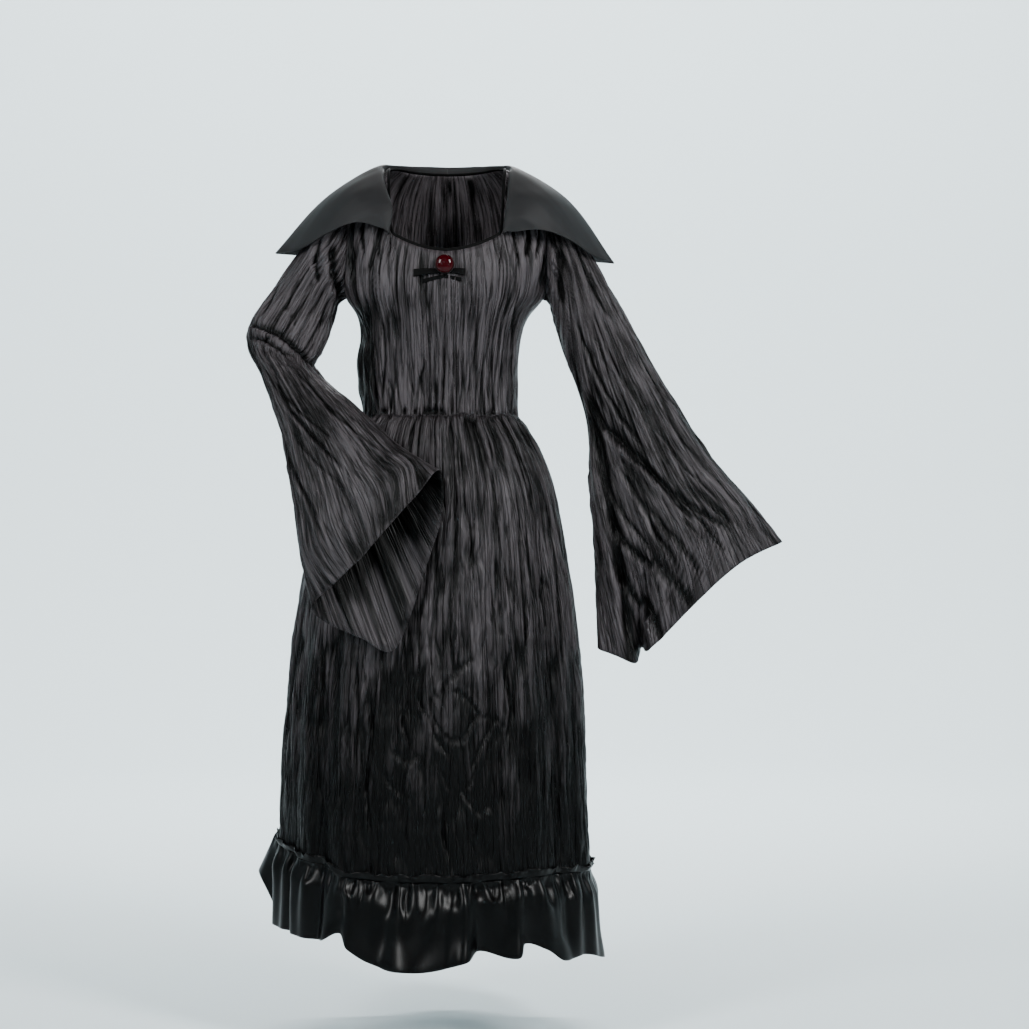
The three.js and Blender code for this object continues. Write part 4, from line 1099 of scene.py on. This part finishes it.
LEFT_SLEEVE = Sleeve(
    name="left",
    side=1,
    ovals=table(
        Oval,
        ((211, 0, -54), (181, 0, -198), 60),
        ((250, -2, -112), (187, -3, -228), 58),
        ((307, -8, -212), (203, -9, -284), 54),
        ((357, -14, -306), (227, -13, -346), 51),
        ((398, -18, -371), (244, -18, -408), 51),
        ((442, -24, -440), (250, -24, -486), 53),
        ((488, -30, -499), (255, -31, -576), 56),
        ((536, -36, -556), (259, -36, -688), 58),
    ),
    cuff=table(
        Cuff,
        (0, 582, -40, -616),
        (0.1, 508, -82, -651),
        (0.2, 424, -97, -724),
        (0.3, 348, -88, -801),
        (0.35, 334, -46, -803),
        (0.4, 326, -84, -824),
        (0.45, 292, -74, -811),
        (0.5, 262, -52, -799),
        (0.6, 286, -2, -784),
        (0.72, 368, 22, -744),
        (0.84, 462, 14, -676),
        (0.93, 534, -8, -636),
    ),
    folds=table(
        SleeveFold,
        (0.14, 0.05, 0.35, -8),
        (0.24, 0.05, 0.4, 6),
        (0.35, 0.04, 0.4, -16),
        (0.66, 0.06, 0.45, -9),
        (0.84, 0.06, 0.4, 7),
    ),
    creases=crease_table(
        (8.5, 11, (240, -330), (261, -444), (282, -549), (297, -638), (312, -742), (326, -850)),
        (5.4, 7.5, (236, -340), (274, -417), (340, -483), (369, -514), (396, -548), (470, -600)),
        (4.4, 6.5, (322, -450), (341, -480), (390, -531), (461, -577), (500, -600)),
        (6.0, 8.5, (272, -560), (302, -608), (328, -638), (369, -662), (408, -700), (432, -740)),
        (6.4, 9.0, (280, -640), (298, -672), (328, -712), (352, -738), (369, -778), (380, -810)),
        (4.2, 6.5, (340, -540), (369, -584), (417, -638), (455, -690)),
        (3.4, 5.5, (290, -470), (330, -540), (362, -600), (404, -662)),
        (3.4, 5.5, (268, -500), (300, -560), (340, -612), (372, -664)),
        (3.4, 5.0, (380, -500), (428, -566), (470, -620), (500, -650)),
        (3.2, 4.6, (222, -230), (262, -330), (300, -400), (356, -470)),
        (3.0, 4.0, (246, -200), (286, -300), (330, -380)),
        (3.0, 4.2, (350, -400), (410, -486), (490, -560)),
        (2.8, 3.6, (400, -480), (452, -550), (520, -600)),
        (3.0, 4.0, (330, -560), (372, -620), (424, -690)),
        (2.8, 3.6, (392, -560), (440, -610), (470, -670)),
        (2.8, 3.6, (300, -620), (330, -680), (352, -750)),
        (6.0, 8.5, (196, -96), (197, -134), (196, -166), (202, -212)),
        (3.8, 6.0, (222, -96), (250, -166), (292, -246)),
        (3.0, 4.0, (240, -96), (262, -130), (296, -190)),
    ),
    fan=(163, 4),
    bent=False,
)
SLEEVE_CUT = (640, 780)
HEAD_GATHERS = 14
HEAD_GATHER = 3
ARMHOLE_GAP = 0.7
SLEEVE_CRINKLE = 1.5
SLEEVE_CRUSH = 2.4
SLEEVE_GATHER = 2.6
FAN_REACH = 560
FAN_DEPTH = 200
# Painted light on the sleeves: the first number paints them lighter, and the second paints their heads
# lighter still.
SLEEVE_PAINTED_LIGHT = 1.1
HEAD_PAINTED_LIGHT = 0.5
# Painted shade inside the bent sleeve's cuff, behind its front edge, with a ragged edge.
INSIDE_SHADE = 0.95
CUFF_CORNER = (-224, -726)
CUFF_ACROSS = (0.73, -0.683)
INSIDE_START = (-60, -10)
INSIDE_END = (22, 62)
INSIDE_UNEVEN = 26
INSIDE_SEAM = (0.84, 0.92)
BACK_CREASE_SHIFT = (9, 0, -14)


def armhole_ring(sleeve, around):
    behind = around > 0.5
    at = np.where(behind, 2 - 2 * around, 2 * around)
    angle = read(ARMHOLE, "at", at, "angle")
    angle = sleeve.side * np.where(behind, 180 - angle, angle)
    points = trunk_points(angle, np.minimum(read(ARMHOLE, "at", at, "rise"), TOP_RISE))
    points[:, 0] += sleeve.side * ARMHOLE_GAP
    return points


def oval_ring(oval, around):
    outer = np.array(oval.outer, float)
    inner = np.array(oval.inner, float)
    turn = 2 * math.pi * around
    points = (outer + inner) / 2 + np.cos(turn)[:, None] * (outer - inner) / 2
    points[:, 1] -= oval.depth * np.sin(turn)
    return points


def cuff_ring(sleeve, around):
    rows = [sleeve.cuff[-1]._replace(around=sleeve.cuff[-1].around - 1), *sleeve.cuff]
    rows += [row._replace(around=row.around + 1) for row in sleeve.cuff[:2]]
    return np.stack([read(rows, "around", around, axis) for axis in "xyz"], axis=1)


def sleeve_rings(sleeve, around):
    rings = [armhole_ring(sleeve, around)]
    rings += [oval_ring(oval, around) for oval in sleeve.ovals]
    rings.append(cuff_ring(sleeve, around))
    return np.stack(rings)


def span(share, last):
    """Which of the even spans up to the last ring a share from 0 to 1 falls in, and how far along it."""
    place = np.clip(share, 0, 1) * last
    k = np.minimum(place.astype(int), last - 1)
    return k, (place - k)[:, None]


def sleeve_points(sleeve, u, v):
    """Points of a sleeve: u goes once round from the seam under the arm, v from armhole to cuff."""
    around = (u + 0.5) % 1
    rings = sleeve_rings(sleeve, around)
    last = len(rings) - 1
    k, t = span(v, last)
    each = np.arange(len(u))
    before, start, end, after = (rings[np.clip(k + step, 0, last), each] for step in (-1, 0, 1, 2))
    points = blend(start, end, (end - before) / 2, (after - start) / 2, t)
    opposite = sleeve_rings(sleeve, (around + 0.5) % 1)
    out = unit(mix(start, end, t) - mix(opposite[k, each], opposite[k + 1, each], t))
    depth = HEAD_GATHER * np.cos(around * HEAD_GATHERS * 2 * math.pi)
    depth *= ease(0, 0.08, v) * (1 - ease(0.1, 0.3, v))
    for fold in sleeve.folds:
        away = np.abs((around - fold.around + 1.5) % 1 - 0.5) / fold.width
        depth += fold.depth * np.exp(-(away**2)) * ease(fold.start, 0.9, v) * (1 - 0.6 * ease(0.9, 1, v))
    return points + out * depth[:, None]


def fan_spread(sleeve, points, u, v):
    """Distances across and along pleats that fan out from a place at the shoulder. They are counted
    from the sleeve's outer edge, both ways to the seam under the arm."""

    def turn(spots):
        return np.arctan2(spots[:, 0] - sleeve.fan[0], sleeve.fan[1] - spots[:, 2])

    away = turn(sleeve_points(sleeve, 0.5 + 0 * v, v)) - turn(points)
    across = FAN_REACH * away * np.sign(u - 0.5) + FAN_DEPTH * (u - 0.5)
    along = np.hypot(points[:, 0] - sleeve.fan[0], points[:, 2] - sleeve.fan[1])
    return np.stack([across, along], axis=1)


def inside_cuff(points, around):
    """How deep in the bent sleeve's cuff a place of its back half is, from 0 at the edge to 1: where
    painted shade darkens the inside of the cuff.
    """
    beyond = (points[:, [0, 2]] - CUFF_CORNER) @ CUFF_ACROSS
    ragged = beyond + INSIDE_UNEVEN * (noise(around * 40, 0 * around, 170) - 0.5)
    deep = ease(*INSIDE_START, beyond) * (1 - ease(*INSIDE_END, ragged))
    return deep * (around > 0.5) * (1 - ease(*INSIDE_SEAM, around))


def sew_sleeve(sleeve, columns, rows, seed):
    def place(u, v):
        base = sleeve_points(sleeve, u, v)
        around = (u + 0.5) % 1
        cut = np.stack([u, v], axis=1) * SLEEVE_CUT
        spread = fan_spread(sleeve, base, u, v) if sleeve.fan else cut
        across, along = spread.T
        height = SLEEVE_CRINKLE * crinkle(across, along, seed) + SLEEVE_CRUSH * crush(across, along, seed)
        height += SLEEVE_GATHER * gathers(*cut.T, 150, 12, seed)
        front = ease(0, 0.04, around) * (1 - ease(0.46, 0.5, around))
        height += front * creased(base, sleeve.creases)
        shifted = base + np.multiply(BACK_CREASE_SHIFT, (sleeve.side, 1, 1))
        height += (around > 0.5) * creased(shifted, sleeve.creases)
        height *= ease(0, 0.012, np.minimum(u, 1 - u)) * ease(0, 0.012, v)
        height *= 0.35 + 0.65 * ease(0, 0.012, 1 - v)
        out = raised(partial(sleeve_points, sleeve), u, v, height, sleeve.side)
        # Painted light on the sleeves and their heads, times the painted crease shade.
        tone = painted_crease_shade(height) * (SLEEVE_PAINTED_LIGHT + HEAD_PAINTED_LIGHT * (1 - ease(0.25, 0.55, v)))
        # Painted shade inside the bent sleeve's cuff.
        if sleeve.bent:
            tone *= 1 - INSIDE_SHADE * inside_cuff(base, around)
        return base + out, tone, spread

    name = f"sleeve_{sleeve.name}"
    piece = lay_cloth(f"{name}_cloth", columns, rows, place, turned=sleeve.side < 0, welded=True)
    return sew(piece, CLOTH, crinkled_satin, "crinkled_satin", f"{name}_front", f"{name}_back")


sleeve_right = sew_sleeve(RIGHT_SLEEVE, 330, 96, 101)
sleeve_left = sew_sleeve(LEFT_SLEEVE, 340, 96, 131)

# Collar: two wide pointed wings of smooth black satin, doubled and turned right side out. They stand
# up from the neck, roll over and fall over the shoulders, and meet in a seam at the middle of the back.
COLLAR_WALL = 2.2
COLLAR_ROUNDING = 0.8
COLLAR_SWELL = 2.4
COLLAR_RIPPLE = 1.2
COLLAR_CUT = (560, 190)
STAND_SET_IN = 5
COLLAR_CLEAR = 2.1
CENTRE_GAP = 0.15
TIP = 4
Wing = namedtuple("Wing", "neck roll fall edge")
RIGHT_COLLAR = table(
    Wing,
    (0.5, (-98, -95, -85), (-104, -97, -80), (-110, -97, -77)),
    (0.36, (-92, -88, -44), (-118, -96, -48), (-152, -93, -67)),
    (0.2, (-106, -64, -3), (-152, -80, -24), (-203, -76, -84)),
    (0.08, (-117, -32, 27), (-182, -48, -10), (-252, -47, -108)),
    (0, (-110, 0, 42), (-208, 4, -10), (-301, -8, -112)),
    (-0.3, (-88, 38, 47), (-160, 66, 2), (-226, 84, -108)),
    (-0.65, (-46, 62, 48), (-86, 100, 6), (-124, 126, -104)),
    (-1, (-CENTRE_GAP, 72, 48), (-CENTRE_GAP, 112, 8), (-CENTRE_GAP, 138, -100)),
)
LEFT_COLLAR = table(
    Wing,
    (0.5, (99, -95, -86), (106, -97, -83), (113, -97, -84)),
    (0.36, (104, -90, -48), (128, -98, -54), (162, -94, -80)),
    (0.2, (112, -66, -6), (158, -82, -30), (210, -74, -94)),
    (0.08, (119, -33, 25), (186, -49, -16), (252, -48, -118)),
    (0, (112, 0, 40), (208, 4, -16), (293, -12, -130)),
    (-0.3, (90, 38, 46), (162, 66, 0), (226, 84, -116)),
    (-0.65, (48, 62, 48), (88, 100, 5), (124, 126, -106)),
    (-1, (CENTRE_GAP, 72, 48), (CENTRE_GAP, 112, 8), (CENTRE_GAP, 138, -100)),
)


def curve_between(before, start, end, after, t):
    """A smooth curve from start to end, whose bends follow how far apart the points lie."""

    def knot(a, b):
        return np.maximum(np.linalg.norm(b - a, axis=-1, keepdims=True) ** 0.5, 1e-4)

    first = knot(before, start)
    middle = knot(start, end)
    third = knot(end, after)
    leave = (start - before) / first - (end - before) / (first + middle) + (end - start) / middle
    reach = (end - start) / middle - (after - start) / (middle + third) + (after - end) / third
    return blend(start, end, leave * middle, reach * middle, t)


def across_tracks(tracks, at):
    """The curve from track to track at each share from 0 to 1, one for each point."""
    last = len(tracks) - 1
    k, t = span(at, last)
    each = np.arange(len(at))
    start = tracks[k, each]
    end = tracks[k + 1, each]
    before = np.where((k > 0)[:, None], tracks[np.maximum(k - 1, 0), each], 2 * start - end)
    after = np.where((k < last - 1)[:, None], tracks[np.minimum(k + 2, last), each], 2 * end - start)
    return curve_between(before, start, end, after, t)


def through_points(points, at):
    return across_tracks(np.repeat(np.array(points, float)[:, None], len(at), axis=1), at)


def collar_points(stations, side, u, v):
    """Points of a wing: u goes from its front end round to centre back, v from the neck to the edge."""
    base = []
    for station in stations:
        point, out, inward = neck_frames(np.array([abs(station.neck)]), side, station.neck <= 0)
        point = point + out * COLLAR_CLEAR - inward * STAND_SET_IN
        if station.neck == -1:
            point[:, 0] = side * CENTRE_GAP
        base.append(point[0])
    edge = [station.edge for station in stations]
    turn = TIP / (len(stations) - 1)
    front = through_points(edge[: TIP + 1], u / turn)
    rear = through_points(edge[TIP:], (u - turn) / (1 - turn))
    tracks = [
        through_points(base, u),
        through_points([station.roll for station in stations], u),
        through_points([station.fall for station in stations], u),
        np.where((u <= turn)[:, None], front, rear),
    ]
    return across_tracks(np.stack(tracks), v)


collar_satin = make_finish("Collar satin", (0.0105, 0.0103, 0.0108), 0.6, 0.14)
socket(collar_satin, "Sheen Weight").default_value = 0.04
socket(collar_satin, "Sheen Roughness").default_value = 0.5
add_bump(collar_satin, cloth_noise(collar_satin, (1000, 1000), 2), 0.2, 0.3)

for name, stations, side in (("right", RIGHT_COLLAR, -1), ("left", LEFT_COLLAR, 1)):

    def place_wing(u, v):
        base = collar_points(stations, side, u, v)
        soft = COLLAR_SWELL * (noise(u * 9, v * 3, 150 + side) - 0.5)
        soft += COLLAR_RIPPLE * (noise(u * 22, v * 5, 160 + side) - 0.5)
        soft *= ease(0.2, 0.5, v) * ease(0, 0.06, np.minimum(u, 1 - u))
        return base + raised(partial(collar_points, stations, side), u, v, soft, side), None, None

    wing = lay_cloth(f"collar_{name}_wing", 120, 36, place_wing, COLLAR_CUT, turned=side < 0)
    sew(wing, COLLAR_WALL, collar_satin, "collar_satin", f"collar_{name}")
    rounding = wing.modifiers.new("Turned edge", "BEVEL")
    rounding.affect = "EDGES"
    rounding.width = COLLAR_ROUNDING * MM
    rounding.segments = 2
    rounding.profile = 0.5
    rounding.material = -1
    rounding.limit_method = "ANGLE"
    rounding.angle_limit = math.radians(50)

# Bow: a narrow black satin ribbon tied in a small flat bow below the brooch, with a long and a short
# loop, two ends hanging to the sides, and a tight knot between them.
BROOCH_X = -1
BROOCH_Z = -141
BOW_Z = -152
BOW_DEPTH = 4.4
BOW_GAP = 0.9
LOOP_FRONT = 3.7
RIBBON = 0.7
TAIL_WIDTH = 6


def chest_points(x, z, off):
    """Points that stand off the front of the bodice at x and z."""
    angle, rise = trunk_place(x, z, False)
    middle, _ = level_width(z)
    points = trunk_points(np.sign(x - middle) * angle, rise)
    return np.stack([x, points[:, 1] - 1 - off, z + 0 * x], axis=1)


def loop_points(side, length, width, u, v):
    out = np.sin(u * math.pi)
    x = BROOCH_X + side * (5 + length * out**0.7)
    off = mix(BOW_GAP, LOOP_FRONT, ease(0, 1, u)) + 0.5 * np.sin(u * 7 + v * 3) * out
    half = width * (0.32 + 0.18 * out)
    droop = 0.06 * np.abs(x)
    return chest_points(x, BOW_Z + mix(-half, half, v) - droop + 0.5 * np.sin(u * 9), off)


def tail_points(side, reach, drop, u, v):
    x = BROOCH_X + side * (0.6 + reach * u)
    z = BOW_Z - 7 - drop * u**1.3 - mix(0, 5.5 + 1.5 * u, v)
    return chest_points(x, z, BOW_GAP + 0.4 * np.sin(u * 8 + side) * u)


ribbon_satin = make_finish("Ribbon satin", (0.0007, 0.0007, 0.0007), 0.55, 0.05)


def tie_ribbon(name, columns, rows, form, cut, turned):
    def place(u, v):
        return form(u, v), None, None

    ribbon = lay_cloth(f"bow_{name}_ribbon", columns, rows, place, cut, turned)
    sew(ribbon, RIBBON, ribbon_satin, "ribbon", f"bow_{name}")


for name, side, length, width in (("right", -1, 48, 13), ("left", 1, 29, 12)):
    loop = partial(loop_points, side, length, width)
    tie_ribbon(f"loop_{name}", 60, 10, loop, (2 * length, width), side > 0)
for name, side, reach, drop in (("right", -1, 38, 8), ("left", 1, 28, 5)):
    tail = partial(tail_points, side, reach, drop)
    tie_ribbon(f"tail_{name}", 30, 8, tail, (reach, TAIL_WIDTH), side < 0)


def place_mesh(name, shape):
    mesh = bpy.data.meshes.new(name)
    shape.to_mesh(mesh)
    shape.free()
    return link_piece(name, mesh)


knot_place = chest_points(np.array([BROOCH_X]), np.array([BOW_Z]), BOW_DEPTH / 2 + 0.6)[0] * MM
knot = bmesh.new()
bmesh.ops.create_uvsphere(knot, u_segments=32, v_segments=20, radius=1)
bmesh.ops.scale(knot, vec=(4.6 * MM, BOW_DEPTH / 2 * MM, 6.5 * MM), verts=knot.verts)
bmesh.ops.translate(knot, vec=knot_place, verts=knot.verts)
finish_piece(place_mesh("bow_knot_ribbon", knot), ribbon_satin, "ribbon", "bow_knot")

# Brooch: a round, domed ruby-red stone of polished acrylic, held in a shallow blackened metal cup
# that is pinned through the bow.
SETTING_RADIUS = 17
SETTING_HEIGHT = 3.2
GEM_RADIUS = 15.4
GEM_HEIGHT = 9
GIRDLE = 1.2
DOME_STEPS = 24
TURN_STEPS = 96


def spun(profile, middle, unit_size, weld):
    """A profile of (distance from the middle, height) spun round the upright line through the middle."""
    shape = bmesh.new()
    rim = [shape.verts.new((middle[0] + out * unit_size, 0, height * unit_size)) for out, height in profile]
    edges = [shape.edges.new(pair) for pair in zip(rim, rim[1:])]
    bmesh.ops.spin(
        shape,
        geom=rim + edges,
        cent=middle,
        axis=(0, 0, 1),
        angle=2 * math.pi,
        steps=TURN_STEPS,
        use_merge=True,
    )
    bmesh.ops.remove_doubles(shape, verts=shape.verts, dist=weld)
    bmesh.ops.recalc_face_normals(shape, faces=shape.faces)
    return shape


def turned_piece(name, profile, depth):
    shape = spun(profile, (0, 0, 0), MM, 0.001 * MM)
    bmesh.ops.rotate(shape, cent=(0, 0, 0), matrix=Matrix.Rotation(math.pi / 2, 3, "X"), verts=shape.verts)
    bmesh.ops.translate(shape, vec=(BROOCH_X * MM, depth * MM, BROOCH_Z * MM), verts=shape.verts)
    return place_mesh(name, shape)


setting_back = chest_points(np.array([BROOCH_X]), np.array([BOW_Z]), BOW_DEPTH + BOW_GAP)[0, 1]
setting_profile = [
    (0, 0),
    (SETTING_RADIUS - 1.5, 0),
    (SETTING_RADIUS - 0.4, 0.4),
    (SETTING_RADIUS, GIRDLE),
    (SETTING_RADIUS - 0.2, 2.6),
    (SETTING_RADIUS - 0.8, SETTING_HEIGHT),
    (SETTING_RADIUS - 1.6, SETTING_HEIGHT + 0.5),
    (GEM_RADIUS - 0.4, SETTING_HEIGHT - 0.2),
    (0, SETTING_HEIGHT - 0.4),
]
brooch_metal = make_finish("Blackened metal", (0.02, 0.016, 0.015), 0.38)
socket(brooch_metal, "Metallic").default_value = 0.9
setting = turned_piece("brooch_setting_cup", setting_profile, setting_back)
finish_piece(setting, brooch_metal, "brooch_metal", "brooch_setting")

gem_profile = [(0, 0), (GEM_RADIUS - 0.3, 0), (GEM_RADIUS, 0.3)]
for step in range(DOME_STEPS + 1):
    turn = step / DOME_STEPS * math.pi / 2
    gem_profile.append((GEM_RADIUS * math.cos(turn), GIRDLE + (GEM_HEIGHT - GIRDLE) * math.sin(turn)))
red_stone = make_finish("Red stone", (0.022, 0.0002, 0.0012), 0.08, 0.16)
stone = turned_piece("brooch_stone", gem_profile, setting_back - SETTING_HEIGHT)
finish_piece(stone, red_stone, "red_stone", "brooch_gem")

# Studio: a plain pale floor that sweeps up into a plain round wall, soft lights, and the camera at the
# photograph's angle, level with the middle of the gown.
FLOOR_Z = -1.47
STUDIO_MIDDLE = (0.118, 0, 0)
STUDIO_RADIUS = 6.8
STUDIO_TOP = 5.5
SWEEP = 2
SWEEP_STEPS = 12
CAMERA_PLACE = (STUDIO_MIDDLE[0], -4.5, -0.568)
CAMERA_LENS = 89.95
SENSOR_WIDTH = 36

sweep_profile = [(0, FLOOR_Z), (3, FLOOR_Z)]
for step in range(SWEEP_STEPS + 1):
    turn = step / SWEEP_STEPS * math.pi / 2
    out = STUDIO_RADIUS - SWEEP + SWEEP * math.sin(turn)
    sweep_profile.append((out, FLOOR_Z + SWEEP * (1 - math.cos(turn))))
sweep_profile.append((STUDIO_RADIUS, STUDIO_TOP))
backdrop = place_mesh("studio_sweep", spun(sweep_profile, STUDIO_MIDDLE, 1, MM))
backdrop.data.materials.append(make_finish("Backdrop paper", (0.66, 0.745, 0.77), 0.95))

sky = bpy.data.worlds.new("Studio air")
sky.use_nodes = True
sky.node_tree.nodes["Background"].inputs["Color"].default_value = (0.9, 0.95, 1, 1)
sky.node_tree.nodes["Background"].inputs["Strength"].default_value = 0.05
bpy.context.scene.world = sky

Softbox = namedtuple("Softbox", "name place aim size power")
SOFTBOXES = table(
    Softbox,
    ("left_box", (-2.0, -2.6, 1.1), (0, 0, -0.2), (0.9, 1.4), 105),
    ("right_box", (2.3, -2.6, 1.2), (0, 0, -0.2), (0.9, 1.4), 175),
    ("back_box", (0.3, 4.0, 2.6), (0.1, 0, -0.5), (1.8, 1.4), 110),
    ("backdrop_light", (0.1, 2.6, 3.6), (0.1, 6.8, -0.3), (3, 1.0), 640),
)
for softbox in SOFTBOXES:
    lamp = bpy.data.lights.new(softbox.name, "AREA")
    lamp.shape = "RECTANGLE"
    lamp.size, lamp.size_y = softbox.size
    lamp.energy = softbox.power
    light = bpy.data.objects.new(softbox.name, lamp)
    light.visible_camera = False
    light.location = softbox.place
    light.rotation_euler = (Vector(softbox.aim) - Vector(softbox.place)).to_track_quat("-Z", "Y").to_euler()
    bpy.context.scene.collection.objects.link(light)

lens = bpy.data.cameras.new("Camera")
lens.lens = CAMERA_LENS
lens.sensor_width = SENSOR_WIDTH
camera = bpy.data.objects.new("Camera", lens)
camera.location = CAMERA_PLACE
camera.rotation_euler = (math.pi / 2, 0, 0)
bpy.context.scene.collection.objects.link(camera)
bpy.context.scene.camera = camera
